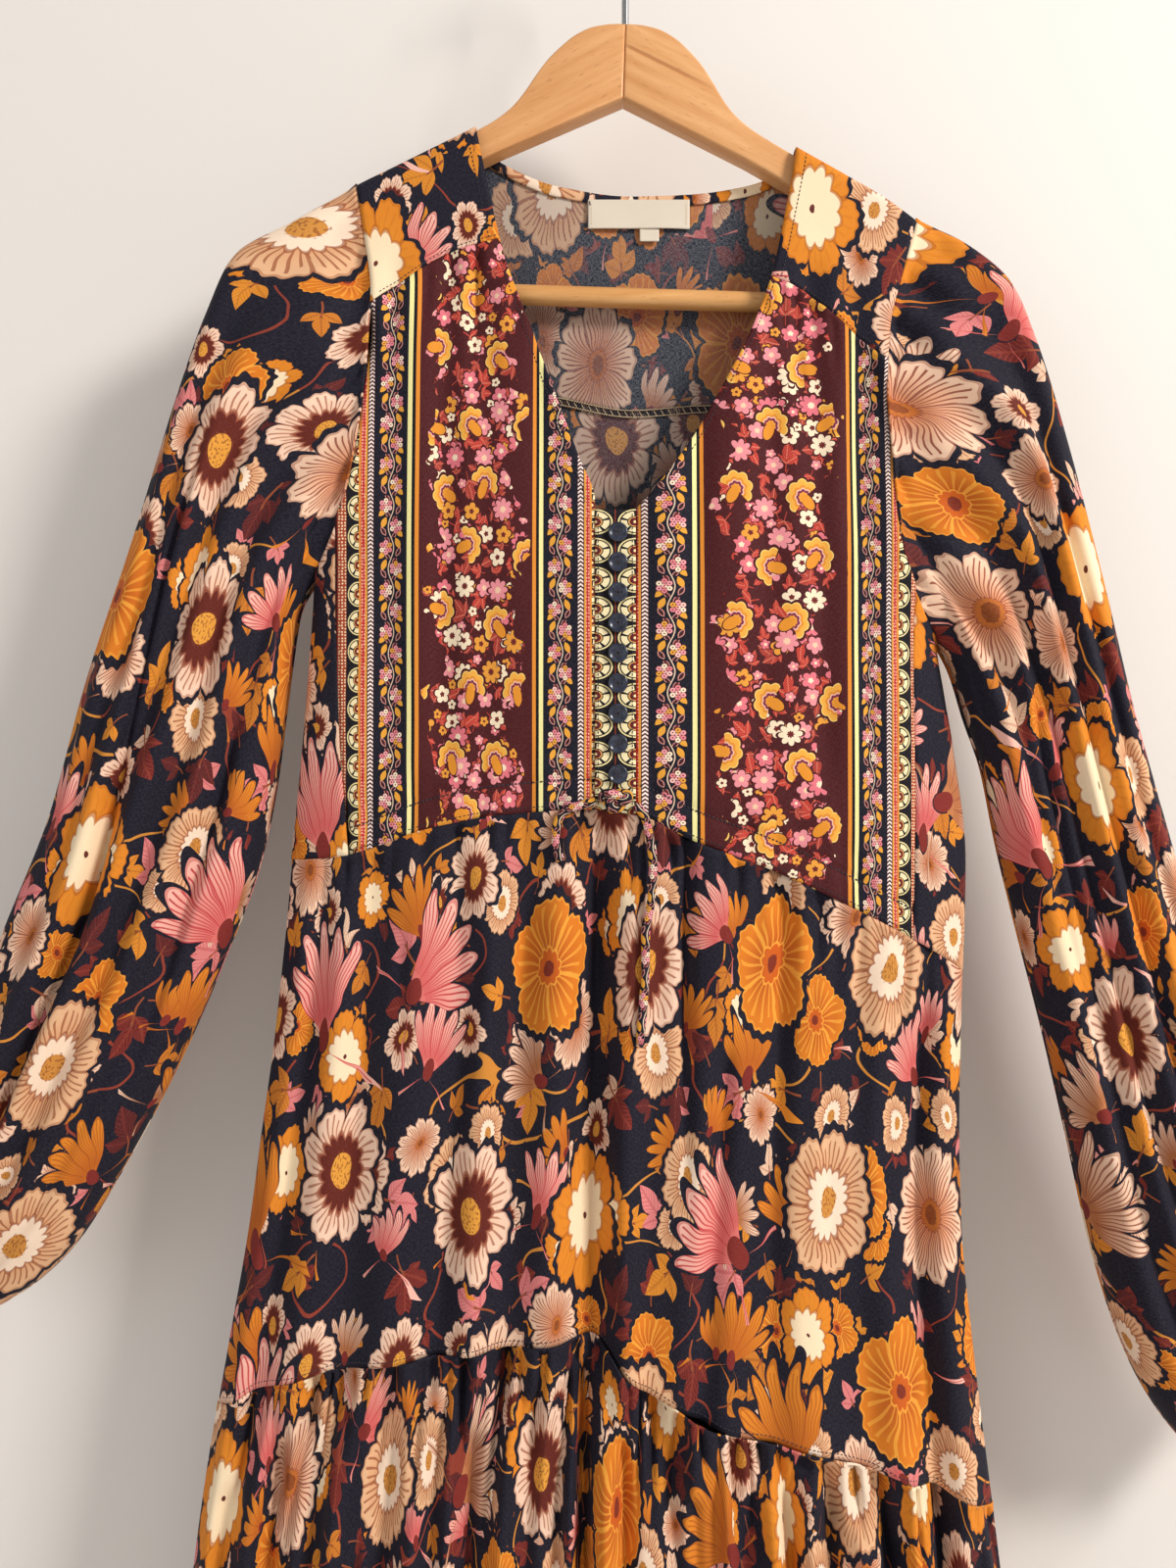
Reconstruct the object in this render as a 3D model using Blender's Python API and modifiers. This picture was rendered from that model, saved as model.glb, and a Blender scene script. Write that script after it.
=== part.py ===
"""A long-sleeved maxi dress that hangs on a wooden hanger.

The dress is cut as bands of cloth: a yoke over the shoulders, border-printed
front panels with a buttoned placket, side panels, a plain back, balloon
sleeves on narrow cuffs, and a skirt of two tiers. Its walls are sheets with
Solidify, placed by a few functions that give the garment's depth at any
point of its front view. The origin is the spot where the hanger's hook rests.

Tables and sizes are in millimetres, and MM turns them into Blender's metres.
X runs to the right as seen from the front, Y to the back and Z up.
"""

import math
from collections import namedtuple

import bmesh
import bpy
from mathutils import Vector

MM = 0.001

# Cloth
WALL = 1.2
PLACKET_WALL = 2.0
SEAM_GAP = 0.5
WAIST_GAP = 0.8
ARMHOLE_GAP = 1.9
SIDE_SEAM_GAP = 1.2
SHOULDER_SEAM_GAP = 0.9
LAID_ON_GAP = 0.3

# Hanger
HANGER_THICKNESS = 14.0
HANGER_EDGE = 1.6
HANGER_TILT = math.radians(1.8)
APEX_X, APEX_Z = 1.8, -91.5
BAR_RADIUS, BAR_HALF_LENGTH, BAR_DROP = 6.0, 200.0, 164.0
SOCKET_CLEARANCE = 0.3
HOOK_WIRE_RADIUS = 2.2
HOOK_BEND_RADIUS = 22.2
LEFT_SHOULDER_CLEARANCE, RIGHT_SHOULDER_CLEARANCE = 1.0, 4.2
SHOULDER_ROWS = (0.0, 0.3, 1.4, 4.2, 9.0)

# Front opening
PLACKET_CENTRE, PLACKET_WIDTH = -5.0, 24.0
PLACKET_TOP = -392.0
BUTTON_COUNT, BUTTON_PITCH, TOP_BUTTON_Z = 9, 17.7, -405.7
BUTTON_RADIUS, BUTTON_THICKNESS = 5.8, 2.4
BUTTON_HOLE_RADIUS, BUTTON_HOLE_SPREAD = 0.8, 1.5

# Side seams: the body's edges in the front view. Above the underarm they
# only steer the depth, because the sleeve takes over there.
EdgePoint = namedtuple("EdgePoint", "height x")
LEFT_EDGE = (
    EdgePoint(-150, -330), EdgePoint(-300, -252), EdgePoint(-370, -216),
    EdgePoint(-428, -187), EdgePoint(-480, -190), EdgePoint(-529, -194),
    EdgePoint(-599, -201), EdgePoint(-703, -211), EdgePoint(-763, -219),
    EdgePoint(-817, -226), EdgePoint(-893, -239), EdgePoint(-977, -253),
    EdgePoint(-1033, -260), EdgePoint(-1300, -284), EdgePoint(-1540, -301),
)
RIGHT_EDGE = (
    EdgePoint(-150, 350), EdgePoint(-330, 258), EdgePoint(-400, 224),
    EdgePoint(-464, 190), EdgePoint(-500, 195), EdgePoint(-529, 200),
    EdgePoint(-600, 208), EdgePoint(-671, 206), EdgePoint(-763, 204),
    EdgePoint(-817, 205), EdgePoint(-893, 212), EdgePoint(-977, 222),
    EdgePoint(-1033, 229), EdgePoint(-1300, 257), EdgePoint(-1540, 277),
)

# How far the cloth stands in front of and behind the hanger's mid plane.
Depth = namedtuple("Depth", "height front back")
BODY_DEPTH = (
    Depth(-150, 11, 11), Depth(-215, 12, 11.5), Depth(-250, 17, 12),
    Depth(-330, 24, 12), Depth(-430, 31, 13), Depth(-520, 31, 13),
    Depth(-600, 30, 13), Depth(-700, 34, 14), Depth(-880, 42, 17),
    Depth(-1033, 50, 21), Depth(-1300, 60, 25), Depth(-1540, 66, 28),
)

# Cut lines of the front, as seen from the front.
LEFT_NECK = (
    EdgePoint(-140, -91), EdgePoint(-154, -89), EdgePoint(-198, -80),
    EdgePoint(-233, -72), EdgePoint(-278, -56), EdgePoint(-320, -41),
    EdgePoint(-361, -26), EdgePoint(-386, -17), EdgePoint(-700, -17),
)
RIGHT_NECK = (
    EdgePoint(-140, 107), EdgePoint(-166, 105), EdgePoint(-207, 98),
    EdgePoint(-248, 89), EdgePoint(-278, 78), EdgePoint(-320, 57),
    EdgePoint(-355, 36), EdgePoint(-382, 16), EdgePoint(-393, 7),
    EdgePoint(-700, 7),
)
LEFT_ARMHOLE = (
    EdgePoint(-184, -162), EdgePoint(-221, -156), EdgePoint(-258, -151),
    EdgePoint(-288, -152), EdgePoint(-330, -156), EdgePoint(-371, -163),
    EdgePoint(-400, -171), EdgePoint(-418, -180), EdgePoint(-428, -187),
)
RIGHT_ARMHOLE = (
    EdgePoint(-204, 180), EdgePoint(-245, 168), EdgePoint(-282, 159),
    EdgePoint(-317, 157), EdgePoint(-365, 160), EdgePoint(-412, 165),
    EdgePoint(-438, 173), EdgePoint(-455, 182), EdgePoint(-464, 190),
)
LEFT_PRINT_EDGE = LEFT_ARMHOLE[:7] + (
    EdgePoint(-440, -171), EdgePoint(-480, -170), EdgePoint(-526, -168),
    EdgePoint(-620, -161),
)
RIGHT_PRINT_EDGE = RIGHT_ARMHOLE[:7] + (
    EdgePoint(-480, 172), EdgePoint(-510, 172), EdgePoint(-567, 173),
    EdgePoint(-680, 170),
)

SeamPoint = namedtuple("SeamPoint", "x height")
LEFT_YOKE_SEAM = (
    SeamPoint(-165, -272), SeamPoint(-151, -265), SeamPoint(-141, -257),
    SeamPoint(-127, -248), SeamPoint(-107, -235), SeamPoint(-79, -226),
    SeamPoint(-60, -222),
)
RIGHT_YOKE_SEAM = (
    SeamPoint(70, -242), SeamPoint(88, -248), SeamPoint(107, -256),
    SeamPoint(134, -280), SeamPoint(146, -291), SeamPoint(160, -302),
    SeamPoint(175, -312),
)
WAIST_SEAM = (
    SeamPoint(-205, -599), SeamPoint(-168, -596), SeamPoint(-114, -579),
    SeamPoint(-70, -571), SeamPoint(-20, -568), SeamPoint(10, -572),
    SeamPoint(40, -586), SeamPoint(83, -602), SeamPoint(131, -624),
    SeamPoint(184, -652), SeamPoint(208, -668),
)
TIER_SEAM = (
    SeamPoint(-245, -925), SeamPoint(-191, -901), SeamPoint(-126, -888),
    SeamPoint(-69, -881), SeamPoint(-22, -876), SeamPoint(10, -904),
    SeamPoint(67, -930), SeamPoint(111, -940), SeamPoint(152, -954),
    SeamPoint(218, -982),
)
BACK_NECK = (
    SeamPoint(-95, -150), SeamPoint(-89, -158), SeamPoint(-64, -174),
    SeamPoint(-39, -183), SeamPoint(5, -189), SeamPoint(40, -188),
    SeamPoint(76, -183), SeamPoint(98, -174), SeamPoint(106, -162),
)
BACK_YOKE_SEAM = (
    SeamPoint(-175, -296), SeamPoint(-42, -313), SeamPoint(5, -321),
    SeamPoint(52, -318), SeamPoint(175, -318),
)
HEM_Z = -1530.0

# Folds, as troughs: share of the width from left to right, and depth.
Fold = namedtuple("Fold", "at_top at_bottom depth")
UPPER_TIER_FOLDS = (
    Fold(0.0, 0.0, 0), Fold(0.06, 0.05, 9), Fold(0.13, 0.16, 8),
    Fold(0.25, 0.29, 7), Fold(0.34, 0.37, 9), Fold(0.455, 0.49, 19),
    Fold(0.56, 0.57, 7), Fold(0.70, 0.71, 6), Fold(0.83, 0.83, 7),
    Fold(0.94, 0.925, 15), Fold(1.0, 1.0, 0),
)
LOWER_TIER_FOLDS = (
    Fold(0.0, 0.0, 0), Fold(0.045, 0.04, 11), Fold(0.10, 0.09, 17),
    Fold(0.15, 0.145, 12), Fold(0.20, 0.20, 9), Fold(0.245, 0.245, 18),
    Fold(0.30, 0.30, 14), Fold(0.35, 0.36, 15), Fold(0.41, 0.41, 11),
    Fold(0.445, 0.45, 13), Fold(0.485, 0.48, 23), Fold(0.535, 0.54, 15),
    Fold(0.59, 0.59, 14), Fold(0.64, 0.64, 13), Fold(0.69, 0.69, 10),
    Fold(0.735, 0.73, 20), Fold(0.79, 0.79, 15), Fold(0.86, 0.855, 20),
    Fold(0.92, 0.915, 22), Fold(0.96, 0.965, 12), Fold(1.0, 1.0, 0),
)
BACK_UPPER_FOLDS = (
    Fold(0.0, 0.0, 0), Fold(0.2, 0.19, 4), Fold(0.38, 0.40, 5),
    Fold(0.62, 0.60, 5), Fold(0.8, 0.81, 4), Fold(1.0, 1.0, 0),
)
BACK_LOWER_FOLDS = (
    Fold(0.0, 0.0, 0), Fold(0.09, 0.10, 8), Fold(0.20, 0.19, 6),
    Fold(0.29, 0.30, 9), Fold(0.40, 0.39, 7), Fold(0.51, 0.50, 8),
    Fold(0.60, 0.61, 6), Fold(0.70, 0.69, 9), Fold(0.80, 0.81, 7),
    Fold(0.91, 0.90, 8), Fold(1.0, 1.0, 0),
)
SLEEVE_FRONT_FOLDS = (
    Fold(0.0, 0.0, 0), Fold(0.16, 0.18, 7), Fold(0.36, 0.38, 11),
    Fold(0.58, 0.57, 10), Fold(0.80, 0.78, 8), Fold(1.0, 1.0, 0),
)
SLEEVE_BACK_FOLDS = (
    Fold(0.0, 0.0, 0), Fold(0.33, 0.33, 1.5), Fold(0.66, 0.66, 1.5),
    Fold(1.0, 1.0, 0),
)

# Gathers of the printed front panels below the yoke.
Gather = namedtuple("Gather", "x_top x_bottom half_width depth")
FRONT_GATHERS = (
    Gather(-106, -106, 11, 6), Gather(-136, -138, 9, 3.5),
    Gather(-86, -80, 10, 2.5), Gather(112, 120, 11, 5),
    Gather(138, 146, 9, 3.5), Gather(92, 78, 10, 2.5),
)

# Sleeves: their outer and inner edges from the armhole to the cuff seam.
SleeveSection = namedtuple(
    "SleeveSection", "share outer_x outer_z inner_x inner_z front back")
LEFT_SLEEVE = (
    SleeveSection(0.00, -162, -187.8, -188, -429, 13, 12),
    SleeveSection(0.08, -198, -213, -199, -452, 25, 14),
    SleeveSection(0.16, -233, -234, -203, -484, 31, 16),
    SleeveSection(0.24, -250, -268, -207, -515, 34, 17),
    SleeveSection(0.34, -277, -344, -213, -560, 36, 17),
    SleeveSection(0.44, -298, -410, -223, -605, 37, 17),
    SleeveSection(0.55, -324, -490, -243, -658, 38, 18),
    SleeveSection(0.66, -345, -569, -269, -718, 39, 18),
    SleeveSection(0.77, -375, -646, -303, -783, 40, 18),
    SleeveSection(0.86, -398, -711, -338, -838, 38, 18),
    SleeveSection(0.93, -423, -759, -369, -864, 32, 16),
    SleeveSection(0.97, -444, -787, -388, -872, 24, 14),
    SleeveSection(1.00, -466, -806, -406, -869, 11, 10),
)
RIGHT_SLEEVE = (
    SleeveSection(0.00, 180, -208.2, 191, -465, 13, 12),
    SleeveSection(0.08, 207, -226, 202, -486, 25, 14),
    SleeveSection(0.16, 233, -250, 211, -515, 31, 16),
    SleeveSection(0.24, 247, -282, 221, -545, 34, 17),
    SleeveSection(0.34, 268, -348, 230, -592, 36, 17),
    SleeveSection(0.44, 288, -424, 241, -638, 37, 17),
    SleeveSection(0.55, 306, -501, 257, -700, 38, 18),
    SleeveSection(0.66, 329, -585, 272, -765, 39, 18),
    SleeveSection(0.77, 352, -669, 290, -845, 40, 18),
    SleeveSection(0.86, 377, -743, 312, -908, 38, 18),
    SleeveSection(0.93, 403, -806, 340, -951, 32, 16),
    SleeveSection(0.97, 422, -852, 358, -966, 24, 14),
    SleeveSection(1.00, 441, -888, 380, -962, 11, 10),
)
CUFF_LENGTH = 24.0
CUFF_WALL = 2.2
CUFF_SEGMENTS = 20

# Hanger arm outline, in its own frame: out from the apex and down.
ArmPoint = namedtuple("ArmPoint", "out down")
ARM_TOP = (
    ArmPoint(0, 0), ArmPoint(10, 0.3), ArmPoint(20, 2.4), ArmPoint(30, 7.4),
    ArmPoint(39, 15), ArmPoint(47, 23.5), ArmPoint(54, 33.5),
    ArmPoint(60, 43), ArmPoint(67, 52), ArmPoint(77, 60.5),
    ArmPoint(88, 67.3), ArmPoint(108, 78.3), ArmPoint(134, 92),
    ArmPoint(160, 106), ArmPoint(180, 120), ArmPoint(198, 135),
    ArmPoint(209, 145.5),
)
ARM_TIP = (
    ArmPoint(217, 151), ArmPoint(220, 162), ArmPoint(218, 170),
    ArmPoint(212, 175), ArmPoint(200, 174), ArmPoint(190, 166),
    ArmPoint(181, 153), ArmPoint(172, 141), ArmPoint(162, 131),
)
ARM_UNDERSIDE = (ArmPoint(150, 119.5), ArmPoint(75, 80), ArmPoint(0, 45))

# The drawstring's free ends, from the knot down: points of their middle line.
TIE_RADIUS = 2.6
KNOT_CENTRE = (-5.0, -562.0)
KNOT_HALF = (11.0, 6.0, 7.5)
KNOT_PINCH = 0.16
TieEnd = namedtuple("TieEnd", "x stand_off height")
LEFT_TIE = (
    TieEnd(-16.4, 4.6, -563), TieEnd(-24, 4.2, -565), TieEnd(-33, 3.9, -568),
    TieEnd(-39, 3.8, -576), TieEnd(-40, 3.7, -587), TieEnd(-37, 3.7, -598),
)
RIGHT_TIE = (
    TieEnd(6.4, 4.6, -565), TieEnd(12, 4.2, -572), TieEnd(15, 3.9, -584),
    TieEnd(17, 3.8, -601), TieEnd(16, 3.7, -620), TieEnd(12.5, 3.7, -640),
    TieEnd(12.5, 3.7, -660), TieEnd(11, 3.7, -682), TieEnd(9, 3.7, -704),
)

LABEL_WIDTH, LABEL_HEIGHT, LABEL_THICKNESS = 63.0, 18.0, 0.6
LABEL_CENTRE_X, LABEL_TOP = 10.5, -191.0
TAB_WIDTH, TAB_HEIGHT, TAB_CENTRE_X = 12.0, 8.0, 17.0
BINDING_HEIGHT, BINDING_WALL = 6.0, 1.0


def clamp(value, low=0.0, high=1.0):
    return max(low, min(high, value))


def mix(a, b, share):
    return a + (b - a) * share


def ease(value):
    """A soft step from 0 to 1."""
    value = clamp(value)
    return value * value * (3 - 2 * value)


def smooth_curve(pairs):
    """A function through (input, output) pairs, with a slope kept smooth from one to the next."""
    pairs = sorted(pairs)
    inputs = [p[0] for p in pairs]
    outputs = [p[1] for p in pairs]
    steps = [
        (outputs[k + 1] - outputs[k]) / (inputs[k + 1] - inputs[k])
        for k in range(len(pairs) - 1)
    ]
    slopes = [steps[0]]
    for before, after in zip(steps, steps[1:]):
        same_way = before * after > 0
        slopes.append(2 * before * after / (before + after) if same_way else 0.0)
    slopes.append(steps[-1])

    def value(x):
        if x <= inputs[0]:
            return outputs[0] + slopes[0] * (x - inputs[0])
        if x >= inputs[-1]:
            return outputs[-1] + slopes[-1] * (x - inputs[-1])
        k = max(i for i in range(len(inputs) - 1) if inputs[i] <= x)
        span = inputs[k + 1] - inputs[k]
        t = (x - inputs[k]) / span
        return (
            outputs[k] * (1 + 2 * t) * (1 - t) ** 2
            + slopes[k] * span * t * (1 - t) ** 2
            + outputs[k + 1] * t * t * (3 - 2 * t)
            + slopes[k + 1] * span * t * t * (t - 1)
        )

    return value


def x_at(edge):
    return smooth_curve([(p.height, p.x) for p in edge])


def height_at(seam):
    return smooth_curve([(p.x, p.height) for p in seam])


left_edge, right_edge = x_at(LEFT_EDGE), x_at(RIGHT_EDGE)
left_neck, right_neck = x_at(LEFT_NECK), x_at(RIGHT_NECK)
left_armhole, right_armhole = x_at(LEFT_ARMHOLE), x_at(RIGHT_ARMHOLE)
left_print_edge, right_print_edge = x_at(LEFT_PRINT_EDGE), x_at(RIGHT_PRINT_EDGE)
left_yoke_seam, right_yoke_seam = height_at(LEFT_YOKE_SEAM), height_at(RIGHT_YOKE_SEAM)
waist_seam, tier_seam = height_at(WAIST_SEAM), height_at(TIER_SEAM)
back_neck, back_yoke_seam = height_at(BACK_NECK), height_at(BACK_YOKE_SEAM)
front_depth = smooth_curve([(d.height, d.front) for d in BODY_DEPTH])
back_depth = smooth_curve([(d.height, d.back) for d in BODY_DEPTH])
arm_top = smooth_curve([(p.out, p.down) for p in ARM_TOP])


def shoulder(x):
    """Height of the shoulder line, where the cloth bends over the hanger's arm."""
    out = x - APEX_X
    for _ in range(3):
        down = arm_top(abs(out))
        out = (x - APEX_X + down * math.sin(HANGER_TILT)) / math.cos(HANGER_TILT)
    top = APEX_Z - out * math.sin(HANGER_TILT) - down * math.cos(HANGER_TILT)
    clearance = mix(LEFT_SHOULDER_CLEARANCE, RIGHT_SHOULDER_CLEARANCE, ease((x + 40) / 80))
    return top + clearance + WALL / 2


def roundness(x, z):
    """Share of the full depth left at x: 1 at the centre front and 0 at the side seam."""
    edge = left_edge(z) if x < PLACKET_CENTRE else right_edge(z)
    across = clamp((x - PLACKET_CENTRE) / (edge - PLACKET_CENTRE))
    return (1 - across**3.2) ** (1 / 3.2)


def over_shoulder(x, z):
    """0 on the shoulder line and 1 from 9 mm below it."""
    below = clamp((shoulder(x) - z) / 9.0)
    return (1 - (1 - below) ** 3.5) ** (1 / 3.5)


def gathers(x, z):
    """How far the gathers under the yoke sink in at a point of the front."""
    down = clamp((-230 - z) / 340)
    fade = ease((-225 - z) / 30) * ease((z + 575) / 60)
    return fade * sum(
        g.depth * math.exp(-((x - mix(g.x_top, g.x_bottom, down)) / g.half_width) ** 2)
        for g in FRONT_GATHERS
    )


def front_y(x, z):
    sunk = gathers(x, z)
    return -front_depth(z) * roundness(x, z) * over_shoulder(x, z) + sunk


def back_y(x, z):
    return back_depth(z) * roundness(x, z) * over_shoulder(x, z)


def material(name, colour, roughness, metallic=0.0):
    made = bpy.data.materials.new(name)
    made.use_nodes = True
    shader = made.node_tree.nodes["Principled BSDF"]
    shader.inputs["Base Color"].default_value = (*colour, 1.0)
    shader.inputs["Roughness"].default_value = roughness
    shader.inputs["Metallic"].default_value = metallic
    made.diffuse_color = (*colour, 1.0)
    return made


def add_object(name, mesh, finish):
    made = bpy.data.objects.new(name, mesh)
    dress.objects.link(made)
    mesh.materials.clear()
    mesh.materials.append(finish)
    return made


def sheet(name, columns, rows, place, finish, wall=WALL):
    """A cloth wall: a flat grid whose points go where place(u, v) says, with a thickness."""
    shaping = bmesh.new()
    bmesh.ops.create_grid(shaping, x_segments=columns, y_segments=rows, size=0.5)
    for corner in shaping.verts:
        corner.co = Vector(place(corner.co.x + 0.5, corner.co.y + 0.5)) * MM
    mesh = bpy.data.meshes.new(name)
    shaping.to_mesh(mesh)
    shaping.free()
    mesh.shade_smooth()
    made = add_object(name, mesh, finish)
    thicken = made.modifiers.new("Wall", "SOLIDIFY")
    thicken.thickness = wall * MM
    thicken.offset = 0.0
    return made


def panel_point(u, left, right, height):
    """The front-view point at share u across, on the row that height(x) gives."""
    z = height(0)
    for _ in range(6):
        x = mix(left(z), right(z), u)
        z = height(x)
    return x, z


def row_height(v, rows, bottom, top, from_shoulder=False):
    """Height of a row. Rows lie close together where the cloth bends over the hanger."""
    row, bent = round((1 - v) * rows), len(SHOULDER_ROWS) - 1
    if not from_shoulder:
        return lambda x: mix(bottom(x), top(x), v)
    if row <= bent:
        return lambda x: top(x) - SHOULDER_ROWS[row]
    share = (rows - row) / (rows - bent)
    return lambda x: mix(bottom(x), top(x) - SHOULDER_ROWS[-1], share)


def inset(edge, by):
    return lambda value: edge(value) + by


def front_panel(name, columns, rows, edges, finish, lift=0.0, wall=WALL, from_shoulder=False):
    """A panel of the front between its left, right, bottom and top edges."""
    left, right, bottom, top = edges

    def place(u, v):
        x, z = panel_point(u, left, right, row_height(v, rows, bottom, top, from_shoulder))
        return x, front_y(x, z) - lift, z

    return sheet(name, columns, rows, place, finish, wall)


def fold_depth(folds, share, down):
    """Depth of the folds at a share of the width, and a share of the way down."""
    places = [mix(f.at_top, f.at_bottom, down) for f in folds]
    k = max(i for i in range(len(folds) - 1) if places[i] <= share or i == 0)
    local = clamp((share - places[k]) / (places[k + 1] - places[k]))
    depth = mix(folds[k].depth, folds[k + 1].depth, local)
    return depth * (0.5 + 0.5 * math.cos(2 * math.pi * local))


def fold_share(folds, column, down):
    """Share of the width of an evenly spaced column, so that four columns make each fold."""
    position = column * (len(folds) - 1)
    k = min(int(position), len(folds) - 2)
    start, end = (mix(f.at_top, f.at_bottom, down) for f in folds[k:k + 2])
    return mix(start, end, position - k)


def tier_point(share, down, top, bottom):
    """Front-view point of a skirt tier."""
    z = top(0)
    for _ in range(6):
        x = mix(left_edge(z), right_edge(z), share)
        z = mix(top(x), bottom(x), down)
    return x, z


def skirt_side(side, depth_at, upper_folds, lower_folds):
    """Functions that place the points of both tiers of the skirt's front or back."""
    upper_top, upper_bottom = inset(waist_seam, -WAIST_GAP / 2), inset(tier_seam, SEAM_GAP / 2)
    upper_columns = 4 * (len(upper_folds) - 1)

    def place_upper(u, v):
        down = 1 - v
        share = fold_share(upper_folds, u, down)
        x, z = tier_point(share, down, upper_top, upper_bottom)
        sink = fold_depth(upper_folds, share, down) * ease(down / 0.35 + 0.25)
        if side < 0:
            sink += (1 - ease(down / 0.1)) * gathers(x, z)
        y = side * max(depth_at(z) * roundness(x, z) - sink, SIDE_SEAM_GAP / 2)
        return x, y, z

    seam = [place_upper(k / upper_columns, 0.0) for k in range(upper_columns + 1)]

    def place_lower(u, v):
        down = (1 - v) ** 1.35
        k = min(int(u * upper_columns + 1e-6), upper_columns - 1)
        at_seam = Vector(seam[k]).lerp(Vector(seam[k + 1]), u * upper_columns - k)
        at_seam.z -= SEAM_GAP
        if down == 0:
            return at_seam
        share = fold_share(lower_folds, u, down)
        x, z = tier_point(share, down, inset(tier_seam, -SEAM_GAP / 2), lambda x: HEM_Z)
        sink = fold_depth(lower_folds, share, down) * mix(0.75, 1.25, down)
        y = side * max(depth_at(z) * roundness(x, z) - sink, SIDE_SEAM_GAP / 2)
        return x, y, z

    return place_upper, place_lower


def sleeve_surface(sections, armhole, outward):
    """Functions that give a sleeve's front-view point and its depth at (across, down)."""
    columns = {
        field: smooth_curve([(s.share, getattr(s, field)) for s in sections])
        for field in ("outer_x", "outer_z", "inner_x", "inner_z", "front", "back")
    }
    first = sections[0]

    def point(across, down):
        x = mix(columns["outer_x"](down), columns["inner_x"](down), across)
        z = mix(columns["outer_z"](down), columns["inner_z"](down), across)
        armhole_z = mix(first.outer_z, first.inner_z, across)
        straight_x = mix(first.outer_x, first.inner_x, across)
        bow = (armhole(armhole_z) - straight_x) * (1 - ease(down / 0.3))
        bow *= 1 - ease((across - 0.7) / 0.3) * ease(down / 0.04)
        return x + bow + outward * ARMHOLE_GAP / 2, z

    def depth(across, down, side):
        armhole_z = mix(first.outer_z, first.inner_z, across)
        armhole_x = armhole(armhole_z)
        at_seam = abs((front_y if side < 0 else back_y)(armhole_x, armhole_z))
        full = columns["front" if side < 0 else "back"](down)
        folds = SLEEVE_FRONT_FOLDS if side < 0 else SLEEVE_BACK_FOLDS
        sink = fold_depth(folds, across, down) * ease(down / 0.2) * ease((1.06 - down) / 0.16)
        power = mix(4.6, 2.6, ease(down / 0.4))
        rounded = (1 - abs(2 * across - 1) ** power) ** (1 / power)
        hung = max(full * rounded - sink * rounded, 0)
        near_seam = mix(max(at_seam, 0.92 * hung), hung, ease(down / 0.1))
        return max(near_seam, SIDE_SEAM_GAP / 2)

    return point, depth


def sleeve_half(name, surface, side, columns, rows):
    point, depth = surface

    def place(u, v):
        across = (1 - math.cos(math.pi * u)) / 2
        down = 1 - v
        x, z = point(across, down)
        return x, side * depth(across, down, side), z

    return sheet(name, columns, rows, place, skirt_cloth)


def cuff(name, sections):
    """A narrow band round the gathered sleeve end, open at the hand."""
    last = sections[-1]
    outer, inner = Vector((last.outer_x, 0, last.outer_z)), Vector((last.inner_x, 0, last.inner_z))
    middle, half = (outer + inner) / 2, (inner - outer) / 2
    along = Vector((half.z, 0, -half.x)).normalized()
    if along.z > 0:
        along = -along
    shaping = bmesh.new()
    bmesh.ops.create_cone(
        shaping, cap_ends=False, segments=CUFF_SEGMENTS, radius1=1, radius2=1, depth=1)
    for corner in shaping.verts:
        start = middle + along * (2.4 * SEAM_GAP + CUFF_LENGTH * (0.5 - corner.co.z))
        angle = math.atan2(corner.co.y, corner.co.x)
        flat = Vector((0, last.front * math.sin(angle), 0))
        corner.co = (start + half * math.cos(angle) + flat) * MM
    mesh = bpy.data.meshes.new(name)
    shaping.to_mesh(mesh)
    shaping.free()
    mesh.shade_smooth()
    made = add_object(name, mesh, skirt_cloth)
    thicken = made.modifiers.new("Wall", "SOLIDIFY")
    thicken.thickness = CUFF_WALL * MM
    thicken.offset = 0.0
    return made


def mesh_from_curve(curve_object, finish):
    """A mesh object with the curve's evaluated shape, its caps welded, in the curve's place."""
    bpy.context.view_layer.update()
    graph = bpy.context.evaluated_depsgraph_get()
    mesh = bpy.data.meshes.new_from_object(curve_object.evaluated_get(graph))
    shaping = bmesh.new()
    shaping.from_mesh(mesh)
    bmesh.ops.remove_doubles(shaping, verts=shaping.verts, dist=0.00001)
    shaping.to_mesh(mesh)
    shaping.free()
    name, place = curve_object.name, curve_object.matrix_world.copy()
    bpy.data.objects.remove(curve_object)
    made = add_object(name, mesh, finish)
    made.matrix_world = place
    return made


def cutter(name, radius, depth, place, turn):
    bpy.ops.mesh.primitive_cylinder_add(
        vertices=20, radius=radius * MM, depth=depth * MM, location=Vector(place) * MM, rotation=turn)
    made = bpy.context.object
    made.name = name
    made.hide_render = True
    made.display_type = "WIRE"
    for holder in made.users_collection:
        holder.objects.unlink(made)
    cutters.objects.link(made)
    return made


def cut(target, tool):
    made = target.modifiers.new("Cut", "BOOLEAN")
    made.operation = "DIFFERENCE"
    made.object = tool


def hanger_point(out, down):
    """Where a point of the hanger's own frame lies in the dress's frame."""
    turned_x = APEX_X + out * math.cos(HANGER_TILT) - down * math.sin(HANGER_TILT)
    turned_z = APEX_Z - out * math.sin(HANGER_TILT) - down * math.cos(HANGER_TILT)
    return turned_x, 0.0, turned_z


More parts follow.
